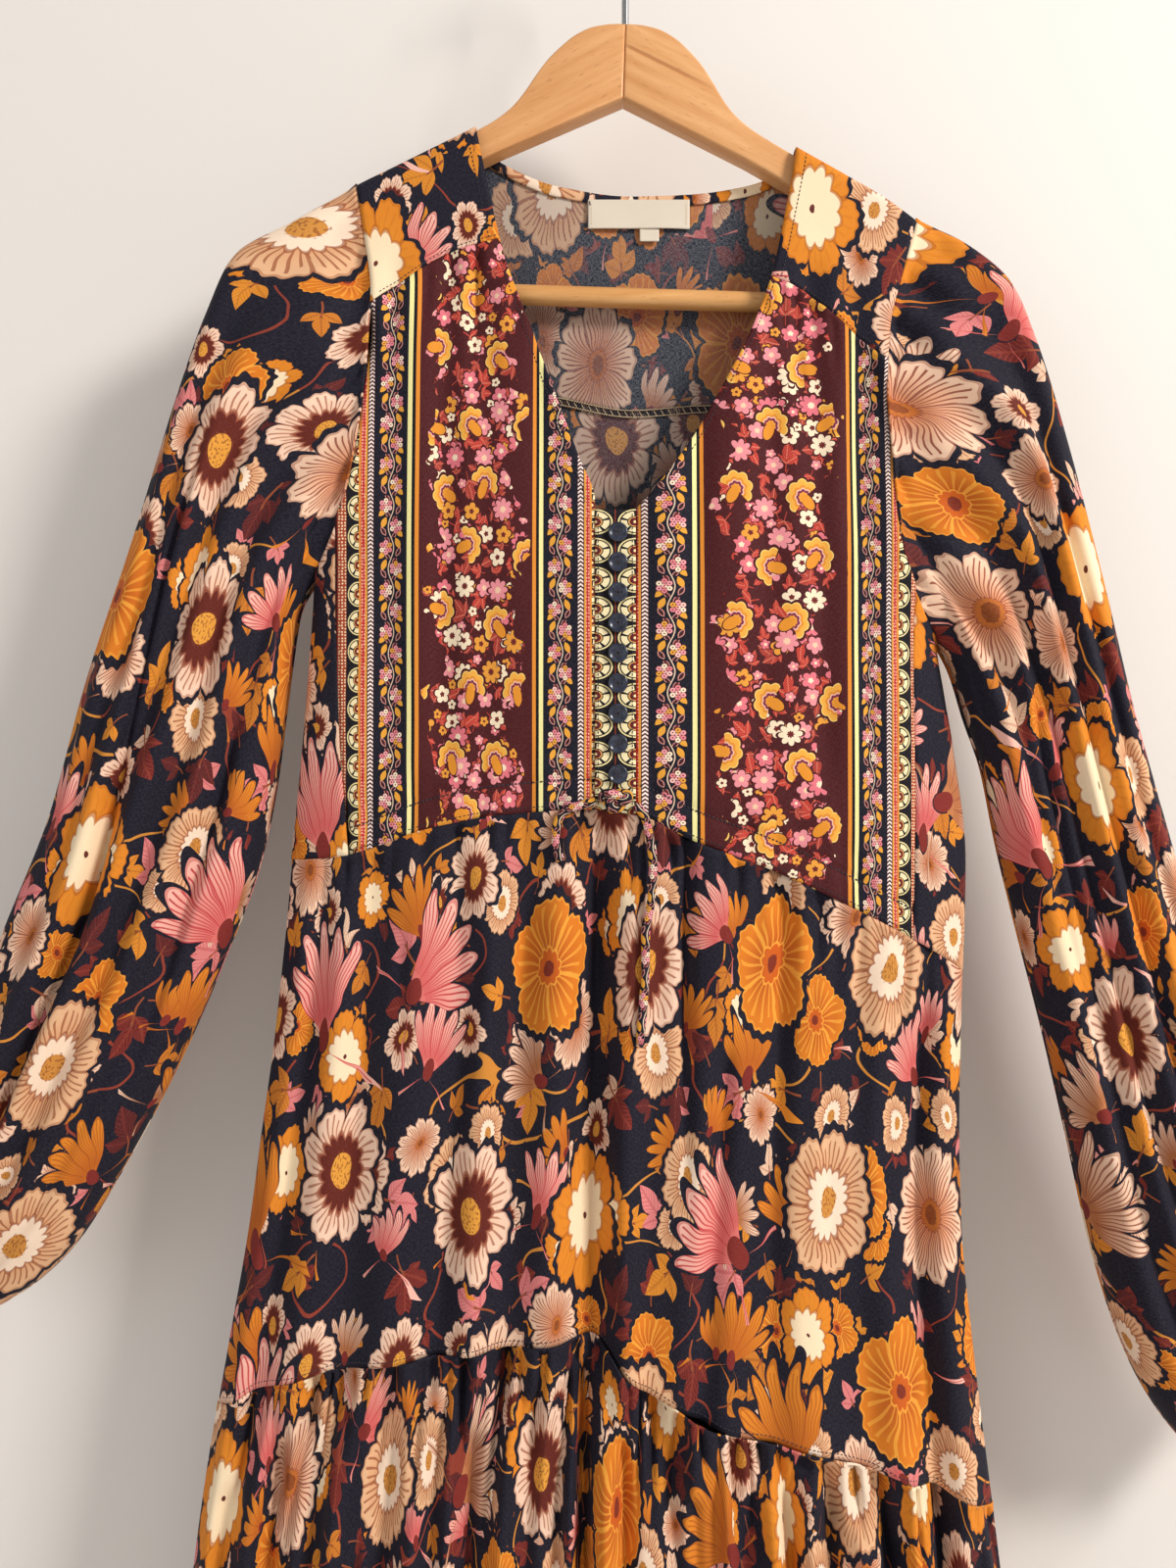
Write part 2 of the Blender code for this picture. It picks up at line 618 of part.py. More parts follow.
def hanger_arm(name, side, tools):
    """One flat arm of the hanger, sawn to its outline and mitred at the middle."""
    outline = list(ARM_TOP + ARM_TIP + ARM_UNDERSIDE)
    curve = bpy.data.curves.new(name, "CURVE")
    curve.dimensions = "2D"
    curve.fill_mode = "BOTH"
    curve.extrude = (HANGER_THICKNESS / 2 - HANGER_EDGE) * MM
    curve.bevel_depth = HANGER_EDGE * MM
    curve.bevel_resolution = 1
    curve.offset = -HANGER_EDGE * MM
    spline = curve.splines.new("POLY")
    spline.points.add(len(outline) - 1)
    for point, place in zip(spline.points, outline):
        out = max(place.out, LAID_ON_GAP / 2)
        point.co = (side * out * MM, -place.down * MM, 0, 1)
    spline.use_cyclic_u = True
    arm = bpy.data.objects.new(name, curve)
    dress.objects.link(arm)
    arm.rotation_euler = (math.radians(90), HANGER_TILT, 0)
    arm.location = Vector((APEX_X, 0, APEX_Z)) * MM
    made = mesh_from_curve(arm, wood)
    for tool in tools:
        cut(made, tool)
    return made


def hanger_bar():
    """The round bar, seated in the sockets of both arms."""
    bpy.ops.mesh.primitive_cylinder_add(
        vertices=20, radius=BAR_RADIUS * MM, depth=2 * BAR_HALF_LENGTH * MM,
        location=Vector(hanger_point(0, BAR_DROP)) * MM,
        rotation=(0, math.radians(90) + HANGER_TILT, 0))
    made = bpy.context.object
    made.name = "hanger_bar"
    for holder in made.users_collection:
        holder.objects.unlink(made)
    dress.objects.link(made)
    made.data.materials.append(wood)


def smooth_route(points, count):
    """Points of a smooth curve through the route's own points."""
    stations = list(range(len(points)))
    columns = [smooth_curve(list(zip(stations, values))) for values in zip(*points)]
    last = len(points) - 1
    return [[column(last * k / count) for column in columns] for k in range(count + 1)]


def rod(name, points, radius, finish, sides=2):
    """A round wire or rolled strip along a line of points."""
    curve = bpy.data.curves.new(name, "CURVE")
    curve.dimensions = "3D"
    curve.bevel_depth = radius * MM
    curve.bevel_resolution = sides
    curve.use_fill_caps = True
    spline = curve.splines.new("POLY")
    spline.points.add(len(points) - 1)
    for point, place in zip(spline.points, points):
        point.co = (*(Vector(place) * MM), 1)
    made = bpy.data.objects.new(name, curve)
    dress.objects.link(made)
    curve.materials.append(finish)
    return made


def hanger_hook():
    """The steel hook: a stem out of the wood and a bend whose inner top is the origin."""
    centre_z = HOOK_WIRE_RADIUS - HOOK_BEND_RADIUS
    stem = [
        (APEX_X, 0, APEX_Z - 14), (APEX_X, 0, APEX_Z + 6), (APEX_X, 0, -66),
        (APEX_X + 1.0, 0, -56), (APEX_X + 5.0, 0, -47.5),
    ]
    bend = []
    for degrees in range(-50, 206, 15):
        angle = math.radians(degrees)
        bend.append((
            HOOK_BEND_RADIUS * math.cos(angle), 0,
            centre_z + HOOK_BEND_RADIUS * math.sin(angle)))
    return rod("hanger_hook", stem + bend, HOOK_WIRE_RADIUS, steel)


def button_mesh():
    """A four-hole button: a turned disc with a raised rim, and holes through it."""
    profile = (
        (BUTTON_RADIUS * 0.68, 0.35), (BUTTON_RADIUS * 0.85, 1.0),
        (BUTTON_RADIUS, 0.2), (BUTTON_RADIUS * 0.9, -BUTTON_THICKNESS / 2),
    )
    shaping = bmesh.new()
    steps = 12
    rings = []
    for step in range(steps):
        angle = 2 * math.pi * step / steps
        rings.append([
            shaping.verts.new(Vector((r * math.cos(angle), -h, r * math.sin(angle))) * MM)
            for r, h in profile
        ])
    for step in range(steps):
        here, there = rings[step], rings[(step + 1) % steps]
        for k in range(len(profile) - 1):
            shaping.faces.new((here[k], here[k + 1], there[k + 1], there[k]))
    shaping.faces.new([ring[0] for ring in rings])
    shaping.faces.new([ring[-1] for ring in reversed(rings)])
    bmesh.ops.recalc_face_normals(shaping, faces=shaping.faces)
    mesh = bpy.data.meshes.new("button")
    shaping.to_mesh(mesh)
    shaping.free()
    whole = add_object("button_blank", mesh, button_plastic)
    holes = bmesh.new()
    for across in (-1, 1):
        for up in (-1, 1):
            added = bmesh.ops.create_cone(
                holes, cap_ends=True, segments=5, radius1=BUTTON_HOLE_RADIUS * MM,
                radius2=BUTTON_HOLE_RADIUS * MM, depth=3 * BUTTON_THICKNESS * MM)
            for corner in added["verts"]:
                x, y, z = corner.co
                corner.co = (x + across * BUTTON_HOLE_SPREAD * MM, z, y + up * BUTTON_HOLE_SPREAD * MM)
    bmesh.ops.recalc_face_normals(holes, faces=holes.faces)
    hole_mesh = bpy.data.meshes.new("button_holes")
    holes.to_mesh(hole_mesh)
    holes.free()
    tool = add_object("button_holes", hole_mesh, button_plastic)
    cut(whole, tool)
    bpy.context.view_layer.update()
    graph = bpy.context.evaluated_depsgraph_get()
    drilled = bpy.data.meshes.new_from_object(whole.evaluated_get(graph))
    drilled.name = "four_hole_button"
    bpy.data.objects.remove(whole)
    bpy.data.objects.remove(tool)
    return drilled


def buttons():
    mesh = button_mesh()
    stand_off = (PLACKET_WALL - WALL) / 2 + PLACKET_WALL / 2 + LAID_ON_GAP + BUTTON_THICKNESS / 2
    for k in range(BUTTON_COUNT):
        z = TOP_BUTTON_Z - k * BUTTON_PITCH
        made = bpy.data.objects.new(f"button_{k + 1}", mesh)
        dress.objects.link(made)
        x = PLACKET_CENTRE + 1.5
        lean = math.atan2(front_y(x, z + 4) - front_y(x, z - 4), 8)
        made.rotation_euler = (-lean, 0, 0)
        made.location = Vector((x, front_y(x, z) - stand_off, z)) * MM


def tie_end(name, ends):
    points = [(e.x, front_y(e.x, e.height) - e.stand_off, e.height) for e in ends]
    return rod(name, smooth_route(points, 2 * (len(points) - 1)), TIE_RADIUS, tie_cloth)


def tie_knot():
    """The knot that draws the waist in: one soft lump of rolled cloth."""
    x, z = KNOT_CENTRE
    placket_face = front_y(x, z) - (PLACKET_WALL - WALL) / 2 - PLACKET_WALL / 2
    y = placket_face - LAID_ON_GAP - KNOT_HALF[1] * (1 - KNOT_PINCH)
    bpy.ops.mesh.primitive_uv_sphere_add(segments=12, ring_count=8, radius=1)
    made = bpy.context.object
    made.name = "tie_knot"
    for corner in made.data.vertices:
        pinch = 1 - KNOT_PINCH * math.cos(math.pi * corner.co.x)
        corner.co = Vector((
            corner.co.x * KNOT_HALF[0], corner.co.y * KNOT_HALF[1] * pinch,
            corner.co.z * KNOT_HALF[2] * pinch)) * MM
    made.location = Vector((x, y, z)) * MM
    for holder in made.users_collection:
        holder.objects.unlink(made)
    dress.objects.link(made)
    made.data.materials.append(tie_cloth)


def laid_inside_back(name, columns, rows, x_range, z_range, wall, finish, gap=LAID_ON_GAP):
    """A flat piece that lies on the inner face of the back yoke."""
    lift = WALL / 2 + gap + wall / 2

    def place(u, v):
        x = mix(*x_range, u)
        low, high = (edge(x) if callable(edge) else edge for edge in z_range)
        z = mix(low, high, v)
        return x, back_y(x, z) - lift, z

    return sheet(name, columns, rows, place, finish, wall)


def back_panel(name, columns, rows, edges):
    """A panel of the back, with its columns closer together at both side seams."""
    left, right, bottom, top = edges

    def place(u, v):
        across = (1 - math.cos(math.pi * u)) / 2
        x, z = panel_point(across, left, right, row_height(v, rows, bottom, top))
        return x, max(back_y(x, z), SEAM_GAP / 2), z

    return sheet(name, columns, rows, place, skirt_cloth)


def back_yoke_top():
    """Points of the back yoke's top edge: each shoulder, a turn down behind the arm, the neck."""
    neck_left, neck_right = LEFT_NECK[1].x, RIGHT_NECK[1].x
    armhole_left = left_armhole(shoulder(LEFT_ARMHOLE[0].x)) + ARMHOLE_GAP / 2
    armhole_right = right_armhole(shoulder(RIGHT_ARMHOLE[0].x)) - ARMHOLE_GAP / 2
    turn = len(SHOULDER_ROWS) - 1
    left = [mix(armhole_left, neck_left, k / 5) for k in range(6)]
    right = [mix(neck_right, armhole_right, k / 5) for k in range(6)]
    top = [(x, shoulder(x)) for x in left]
    for k in range(1, turn + 1):
        x = neck_left + 0.4 * k
        top.append((x, shoulder(x) - SHOULDER_ROWS[k]))
    for k in range(1, 8):
        x = mix(neck_left + 0.4 * turn, neck_right - 0.4 * turn, k / 8)
        top.append((x, min(back_neck(x), shoulder(x) - SHOULDER_ROWS[-1])))
    for k in range(turn, 0, -1):
        x = neck_right - 0.4 * k
        top.append((x, shoulder(x) - SHOULDER_ROWS[k]))
    return top + [(x, shoulder(x)) for x in right]


def back_yoke():
    top = back_yoke_top()
    columns, rows = len(top) - 1, 7
    left, right = inset(left_armhole, ARMHOLE_GAP / 2), inset(right_armhole, -ARMHOLE_GAP / 2)

    def place(u, v):
        top_x, top_z = top[round(u * columns)]
        share = (top_x - top[0][0]) / (top[-1][0] - top[0][0])
        z = top_z
        for _ in range(6):
            spread_left = left(min(z, top[0][1])) - left(top[0][1])
            spread_right = right(min(z, top[-1][1])) - right(top[-1][1])
            x = top_x + mix(spread_left, spread_right, share)
            z = row_height(v, rows, inset(back_yoke_seam, SEAM_GAP / 2), lambda x: top_z, True)(x)
        return x, max(back_y(x, z), SHOULDER_SEAM_GAP / 2), z

    return sheet("back_yoke", columns, rows, place, skirt_cloth)


for old in list(bpy.data.objects):
    bpy.data.objects.remove(old)
dress = bpy.data.collections.new("maxi_dress")
cutters = bpy.data.collections.new("cutters")
bpy.context.scene.collection.children.link(dress)
bpy.context.scene.collection.children.link(cutters)

skirt_cloth = material("floral_cloth", (0.02, 0.018, 0.035), 0.75)
print_cloth = material("border_cloth", (0.16, 0.018, 0.02), 0.75)
tie_cloth = material("tie_cloth", (0.25, 0.09, 0.05), 0.75)
label_cloth = material("label_cloth", (0.85, 0.8, 0.7), 0.8)
button_plastic = material("button_plastic", (0.012, 0.013, 0.02), 0.3)
wood = material("beech_wood", (0.72, 0.42, 0.18), 0.45)
steel = material("hook_steel", (0.62, 0.63, 0.64), 0.25, 1.0)

# Hanger
hook_hole = cutter(
    "hook_hole", HOOK_WIRE_RADIUS + SOCKET_CLEARANCE, 32, (APEX_X, 0, APEX_Z), (0, 0, 0))
for side, word in ((-1, "left"), (1, "right")):
    socket = cutter(
        f"bar_socket_{word}", BAR_RADIUS + SOCKET_CLEARANCE, 60,
        hanger_point(side * (BAR_HALF_LENGTH + SOCKET_CLEARANCE - 30), BAR_DROP),
        (0, math.radians(90) + HANGER_TILT, 0))
    hanger_arm(f"hanger_arm_{word}", side, (hook_hole, socket))
hanger_bar()
hanger_hook()

# Bodice front
gap = SEAM_GAP / 2
at_armhole = ARMHOLE_GAP / 2
above_waist = inset(waist_seam, WAIST_GAP / 2)
front_panel(
    "front_yoke_left", 8, 8,
    (inset(left_armhole, at_armhole), left_neck, inset(left_yoke_seam, gap), shoulder),
    skirt_cloth, lift=SHOULDER_SEAM_GAP / 2, from_shoulder=True)
front_panel(
    "front_yoke_right", 8, 8,
    (right_neck, inset(right_armhole, -at_armhole), inset(right_yoke_seam, gap), shoulder),
    skirt_cloth, lift=SHOULDER_SEAM_GAP / 2, from_shoulder=True)
front_panel(
    "front_print_left", 14, 10,
    (inset(left_print_edge, at_armhole), inset(left_neck, -gap),
     above_waist, inset(left_yoke_seam, -gap)), print_cloth, lift=gap)
front_panel(
    "front_print_right", 14, 10,
    (inset(right_neck, gap), inset(right_print_edge, -at_armhole),
     above_waist, inset(right_yoke_seam, -gap)), print_cloth, lift=gap)
front_panel(
    "placket", 4, 10,
    (lambda z: PLACKET_CENTRE - PLACKET_WIDTH / 2 + gap,
     lambda z: PLACKET_CENTRE + PLACKET_WIDTH / 2 - gap,
     above_waist, lambda x: PLACKET_TOP), print_cloth,
    lift=(PLACKET_WALL - WALL) / 2, wall=PLACKET_WALL)
buttons()


def side_panel(name, edge, seam, armhole, outward):
    """The plain strip between the printed panel and the side seam, below the armhole."""
    armhole_height = smooth_curve([(p.x, p.height) for p in armhole[6:]])
    low_x, high_x = sorted((armhole[6].x, armhole[-1].x))

    def place(u, v):
        across = math.sin(u * math.pi / 2)
        z = armhole[-1].height
        for _ in range(6):
            x = mix(seam(z) + outward * gap, edge(z), across)
            top = armhole_height(clamp(x, low_x, high_x)) - at_armhole - gap
            z = mix(above_waist(x), top, v)
        return x, min(front_y(x, z), -SIDE_SEAM_GAP / 2), z

    return sheet(name, 5, 6, place, skirt_cloth)


side_panel("front_side_left", left_edge, left_print_edge, LEFT_ARMHOLE, -1)
side_panel("front_side_right", right_edge, right_print_edge, RIGHT_ARMHOLE, 1)


def back_left(z):
    """The back bodice's edge: its armhole, then the side seam below the underarm."""
    underarm = LEFT_ARMHOLE[-1].height
    return left_armhole(z) + at_armhole if z > underarm else left_edge(z)


def back_right(z):
    underarm = RIGHT_ARMHOLE[-1].height
    return right_armhole(z) - at_armhole if z > underarm else right_edge(z)


# Back
back_yoke()
back_panel(
    "back_bodice", 22, 9,
    (back_left, back_right, above_waist, inset(back_yoke_seam, -gap)))
laid_inside_back(
    "back_neck_binding", 20, 1, (LEFT_NECK[1].x + 6, RIGHT_NECK[2].x - 6),
    (inset(back_neck, -BINDING_HEIGHT), inset(back_neck, 0.3)), BINDING_WALL, skirt_cloth)
laid_inside_back(
    "neck_label", 4, 1,
    (LABEL_CENTRE_X - LABEL_WIDTH / 2, LABEL_CENTRE_X + LABEL_WIDTH / 2),
    (LABEL_TOP - LABEL_HEIGHT, LABEL_TOP), LABEL_THICKNESS, label_cloth,
    gap=2 * LAID_ON_GAP + BINDING_WALL)
laid_inside_back(
    "size_tab", 1, 1, (TAB_CENTRE_X - TAB_WIDTH / 2, TAB_CENTRE_X + TAB_WIDTH / 2),
    (LABEL_TOP - LABEL_HEIGHT - TAB_HEIGHT, LABEL_TOP - LABEL_HEIGHT - SEAM_GAP),
    LABEL_THICKNESS, label_cloth, gap=2 * LAID_ON_GAP + BINDING_WALL)

# Sleeves
for word, sections, armhole, outward in (
    ("left", LEFT_SLEEVE, left_armhole, -1),
    ("right", RIGHT_SLEEVE, right_armhole, 1),
):
    surface = sleeve_surface(sections, armhole, outward)
    sleeve_half(f"sleeve_front_{word}", surface, -1, 16, 14)
    sleeve_half(f"sleeve_back_{word}", surface, 1, 12, 10)
    cuff(f"cuff_{word}", sections)

# Skirt
for word, side, depth_at, upper_folds, lower_folds in (
    ("front", -1, front_depth, UPPER_TIER_FOLDS, LOWER_TIER_FOLDS),
    ("back", 1, back_depth, BACK_UPPER_FOLDS, BACK_LOWER_FOLDS),
):
    place_upper, place_lower = skirt_side(side, depth_at, upper_folds, lower_folds)
    columns = 4 * (len(upper_folds) - 1)
    sheet(f"skirt_upper_{word}", columns, 7, place_upper, skirt_cloth)
    sheet(f"skirt_lower_{word}", 2 * columns, 6, place_lower, skirt_cloth)

# Waist tie
tie_knot()
tie_end("tie_end_left", LEFT_TIE)
tie_end("tie_end_right", RIGHT_TIE)
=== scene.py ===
"""A long-sleeved maxi dress on a wooden hanger: the looks.

The cloth pieces are fine sheets on the forms of the garment's solids, with the
folds and gathers of soft crepe. Tables are in millimetres, and MM turns them
into Blender's metres. The print is the script's own: large and small garden
flowers on navy, and a border of stripes, vines and bouquets on burgundy.
"""

import math
from collections import namedtuple

import bmesh
import bpy
import numpy as np
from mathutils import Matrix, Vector


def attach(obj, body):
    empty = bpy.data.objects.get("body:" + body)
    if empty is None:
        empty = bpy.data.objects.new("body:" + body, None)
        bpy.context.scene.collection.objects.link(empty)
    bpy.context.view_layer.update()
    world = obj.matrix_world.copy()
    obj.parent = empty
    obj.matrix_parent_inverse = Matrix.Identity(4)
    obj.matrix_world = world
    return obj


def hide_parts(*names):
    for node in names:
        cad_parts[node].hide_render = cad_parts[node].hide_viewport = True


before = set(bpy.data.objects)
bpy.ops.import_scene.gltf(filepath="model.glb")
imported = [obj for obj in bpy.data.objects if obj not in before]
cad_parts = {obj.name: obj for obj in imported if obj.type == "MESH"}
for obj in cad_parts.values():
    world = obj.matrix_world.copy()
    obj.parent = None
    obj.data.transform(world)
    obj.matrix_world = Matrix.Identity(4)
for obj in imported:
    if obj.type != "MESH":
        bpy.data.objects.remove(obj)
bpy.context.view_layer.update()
bpy.ops.object.select_all(action="DESELECT")

# Camera, light, wall and floor. The dress hangs close in front of a plain pale
# sheet, in soft daylight from the upper right.
MM = 0.001
EYE = (-0.021, -0.720, -0.553)
WALL_BACK = 0.075


def rgb(code):
    """A colour code as linear light."""
    parts = [int(code[k:k + 2], 16) / 255 for k in (1, 3, 5)]
    return tuple(p / 12.92 if p <= 0.04045 else ((p + 0.055) / 1.055) ** 2.4 for p in parts)


eye = bpy.data.cameras.new("camera")
camera = bpy.data.objects.new("camera", eye)
bpy.context.scene.collection.objects.link(camera)
eye.sensor_width = 36
eye.lens = 27
eye.clip_start = 0.01
camera.location = EYE
camera.rotation_euler = (math.radians(90), 0, 0)
bpy.context.scene.camera = camera
bpy.context.scene.view_settings.view_transform = "Standard"

room = bpy.data.worlds.new("room")
bpy.context.scene.world = room
room.use_nodes = True
sky = room.node_tree.nodes["Background"]
sky.inputs["Color"].default_value = (*rgb("#e9e4de"), 1)
sky.inputs["Strength"].default_value = 0.52

for name, place, size, power, tint in (
    ("window_light", (2.15, -1.6, 0.75), 0.7, 88, "#fffaf5"),
    ("fill_light", (-1.9, -2.0, -0.3), 1.8, 12, "#f4f6ff"),
    ("back_light", (0.2, 1.9, 0.3), 1.6, 22, "#ffffff"),
):
    lamp = bpy.data.lights.new(name, "AREA")
    lamp.energy = power
    lamp.size = size
    lamp.color = rgb(tint)
    holder = bpy.data.objects.new(name, lamp)
    holder.location = place
    holder.rotation_euler = (Vector((0, 0, -0.75)) - Vector(place)).to_track_quat("-Z", "Y").to_euler()
    bpy.context.scene.collection.objects.link(holder)

bpy.ops.mesh.primitive_plane_add(size=8, location=(0, 0, -1.62))
floor = bpy.context.object
floor.name = "floor"
bpy.ops.mesh.primitive_plane_add(
    size=1, location=(0, WALL_BACK, -0.3), rotation=(math.radians(90), 0, 0))
wall = bpy.context.object
wall.name = "wall_sheet"
wall.scale = (3.4, 2.64, 1)
for stage_piece in (floor, wall):
    paint = bpy.data.materials.new(f"{stage_piece.name}_paint")
    paint.use_nodes = True
    tree = paint.node_tree
    pale = tree.nodes["Principled BSDF"]
    pale.inputs["Base Color"].default_value = (*rgb("#dedad5"), 1)
    pale.inputs["Roughness"].default_value = 0.85
    if stage_piece == wall:
        # Painted light: the wall sheet glows faintly, which lifts the shadows cast on it and adds a little
        # light to the dress.
        pale.inputs["Emission Color"].default_value = (*rgb("#dedad5"), 1)
        pale.inputs["Emission Strength"].default_value = 0.09
        clear = tree.nodes.new("ShaderNodeBsdfTransparent")
        behind = tree.nodes.new("ShaderNodeNewGeometry")
        either = tree.nodes.new("ShaderNodeMixShader")
        tree.links.new(behind.outputs["Backfacing"], either.inputs[0])
        tree.links.new(pale.outputs[0], either.inputs[1])
        tree.links.new(clear.outputs[0], either.inputs[2])
        tree.links.new(either.outputs[0], tree.nodes["Material Output"].inputs[0])
        place = tree.nodes.new("ShaderNodeTexCoord")
        crease = tree.nodes.new("ShaderNodeTexNoise")
        crease.inputs["Scale"].default_value = 1.6
        crease.inputs["Detail"].default_value = 3
        crease.inputs["Distortion"].default_value = 1.2
        tree.links.new(place.outputs["Object"], crease.inputs["Vector"])
        relief = tree.nodes.new("ShaderNodeBump")
        relief.inputs["Strength"].default_value = 0.35
        relief.inputs["Distance"].default_value = 0.05
        tree.links.new(crease.outputs[0], relief.inputs["Height"])
        tree.links.new(relief.outputs[0], pale.inputs["Normal"])
    stage_piece.data.materials.append(paint)
bpy.ops.object.select_all(action="DESELECT")

# Waist tie. A rolled and stitched strip of the border cloth, limp, with two
# free ends that hang from the knot over the skirt.
WALL = 1.2
PLACKET_WALL = 2.0
PLACKET_CENTRE, PLACKET_WIDTH, PLACKET_TOP = -5.0, 24.0, -392.0
TIE_RADIUS = 2.6
KNOT_CENTRE = (-5.0, -562.0)
KNOT_HALF = (11.0, 6.0, 7.5)
KNOT_PINCH = 0.16
TieEnd = namedtuple("TieEnd", "x stand_off height")
LEFT_TIE = (
    TieEnd(-16.4, 4.6, -563), TieEnd(-24, 4.2, -565), TieEnd(-33, 3.9, -568),
    TieEnd(-39, 3.8, -576), TieEnd(-40, 3.7, -587), TieEnd(-37, 3.7, -598),
)
RIGHT_TIE = (
    TieEnd(6.4, 4.6, -565), TieEnd(12, 4.2, -572), TieEnd(15, 3.9, -584),
    TieEnd(17, 3.8, -601), TieEnd(16, 3.7, -620), TieEnd(12.5, 3.7, -640),
    TieEnd(12.5, 3.7, -660), TieEnd(11, 3.7, -682), TieEnd(9, 3.7, -704),
)
EdgePoint = namedtuple("EdgePoint", "height x")
LEFT_EDGE = (
    EdgePoint(-150, -330), EdgePoint(-300, -252), EdgePoint(-370, -216),
    EdgePoint(-428, -187), EdgePoint(-480, -190), EdgePoint(-529, -194),
    EdgePoint(-599, -201), EdgePoint(-703, -211), EdgePoint(-763, -219),
    EdgePoint(-817, -226), EdgePoint(-893, -239), EdgePoint(-977, -253),
    EdgePoint(-1033, -260), EdgePoint(-1300, -284), EdgePoint(-1540, -301),
)
RIGHT_EDGE = (
    EdgePoint(-150, 350), EdgePoint(-330, 258), EdgePoint(-400, 224),
    EdgePoint(-464, 190), EdgePoint(-500, 195), EdgePoint(-529, 200),
    EdgePoint(-600, 208), EdgePoint(-671, 206), EdgePoint(-763, 204),
    EdgePoint(-817, 205), EdgePoint(-893, 212), EdgePoint(-977, 222),
    EdgePoint(-1033, 229), EdgePoint(-1300, 257), EdgePoint(-1540, 277),
)
Depth = namedtuple("Depth", "height front back")
BODY_DEPTH = (
    Depth(-150, 11, 11), Depth(-215, 12, 11.5), Depth(-250, 17, 12),
    Depth(-330, 24, 12), Depth(-430, 31, 13), Depth(-520, 31, 13),
    Depth(-600, 30, 13), Depth(-700, 34, 14), Depth(-880, 42, 17),
    Depth(-1033, 50, 21), Depth(-1300, 60, 25), Depth(-1540, 66, 28),
)
HANGER_TILT = math.radians(1.8)
APEX_X, APEX_Z = 1.8, -91.5
LEFT_SHOULDER_CLEARANCE, RIGHT_SHOULDER_CLEARANCE = 1.0, 4.2
ArmPoint = namedtuple("ArmPoint", "out down")
ARM_TOP = (
    ArmPoint(0, 0), ArmPoint(10, 0.3), ArmPoint(20, 2.4), ArmPoint(30, 7.4),
    ArmPoint(39, 15), ArmPoint(47, 23.5), ArmPoint(54, 33.5),
    ArmPoint(60, 43), ArmPoint(67, 52), ArmPoint(77, 60.5),
    ArmPoint(88, 67.3), ArmPoint(108, 78.3), ArmPoint(134, 92),
    ArmPoint(160, 106), ArmPoint(180, 120), ArmPoint(198, 135),
    ArmPoint(209, 145.5),
)
Gather = namedtuple("Gather", "x_top x_bottom half_width depth")
FRONT_GATHERS = (
    Gather(-106, -106, 11, 6), Gather(-136, -138, 9, 3.5),
    Gather(-86, -80, 10, 2.5), Gather(112, 120, 11, 5),
    Gather(138, 146, 9, 3.5), Gather(92, 78, 10, 2.5),
)


def mix(a, b, share):
    return a + (b - a) * share


def clamp(value, low=0.0, high=1.0):
    return np.clip(value, low, high)


def ease(value):
    """A soft step from 0 to 1."""
    value = clamp(value)
    return value * value * (3 - 2 * value)


def smooth_curve(pairs):
    """A function through (input, output) pairs, for single values and for arrays."""
    pairs = np.array(sorted(pairs), float)
    inputs, outputs = pairs[:, 0], pairs[:, 1]
    steps = np.diff(outputs) / np.diff(inputs)
    before, after = steps[:-1], steps[1:]
    same_way = before * after > 0
    middle = np.where(same_way, 2 * before * after / np.where(same_way, before + after, 1), 0)
    slopes = np.concatenate([steps[:1], middle, steps[-1:]])

    def value(x):
        x = np.asarray(x, float)
        k = clamp(np.searchsorted(inputs, x, side="right") - 1, 0, len(inputs) - 2)
        span = inputs[k + 1] - inputs[k]
        t = (x - inputs[k]) / span
        inside = (
            outputs[k] * (1 + 2 * t) * (1 - t) ** 2 + slopes[k] * span * t * (1 - t) ** 2
            + outputs[k + 1] * t * t * (3 - 2 * t) + slopes[k + 1] * span * t * t * (t - 1))
        below = outputs[0] + slopes[0] * (x - inputs[0])
        above = outputs[-1] + slopes[-1] * (x - inputs[-1])
        return np.where(x < inputs[0], below, np.where(x > inputs[-1], above, inside))

    return value


def x_at(edge):
    return smooth_curve([(p.height, p.x) for p in edge])


left_edge, right_edge = x_at(LEFT_EDGE), x_at(RIGHT_EDGE)
front_depth = smooth_curve([(d.height, d.front) for d in BODY_DEPTH])
back_depth = smooth_curve([(d.height, d.back) for d in BODY_DEPTH])
arm_top = smooth_curve([(p.out, p.down) for p in ARM_TOP])


def shoulder(x):
    """Height of the shoulder line, where the cloth bends over the hanger's arm."""
    out = x - APEX_X
    for _ in range(3):
        down = arm_top(abs(out))
        out = (x - APEX_X + down * math.sin(HANGER_TILT)) / math.cos(HANGER_TILT)
    top = APEX_Z - out * math.sin(HANGER_TILT) - down * math.cos(HANGER_TILT)
    clearance = mix(LEFT_SHOULDER_CLEARANCE, RIGHT_SHOULDER_CLEARANCE, ease((x + 40) / 80))
    return top + clearance + WALL / 2


def roundness(x, z):
    """Share of the full depth left at x: 1 at the centre front and 0 at the side seam."""
    edge = np.where(x < PLACKET_CENTRE, left_edge(z), right_edge(z))
    across = clamp((x - PLACKET_CENTRE) / (edge - PLACKET_CENTRE))
    return (1 - across**3.2) ** (1 / 3.2)


def over_shoulder(x, z):
    """0 on the shoulder line and 1 from 9 mm below it."""
    below = clamp((shoulder(x) - z) / 9.0)
    return (1 - (1 - below) ** 3.5) ** (1 / 3.5)


def gathers(x, z):
    """How far the gathers under the yoke sink in at a point of the front."""
    down = clamp((-230 - z) / 340)
    fade = ease((-225 - z) / 30) * ease((z + 575) / 60)
    sunk = 0
    for g in FRONT_GATHERS:
        sunk = sunk + g.depth * np.exp(-((x - mix(g.x_top, g.x_bottom, down)) / g.half_width) ** 2)
    return fade * sunk


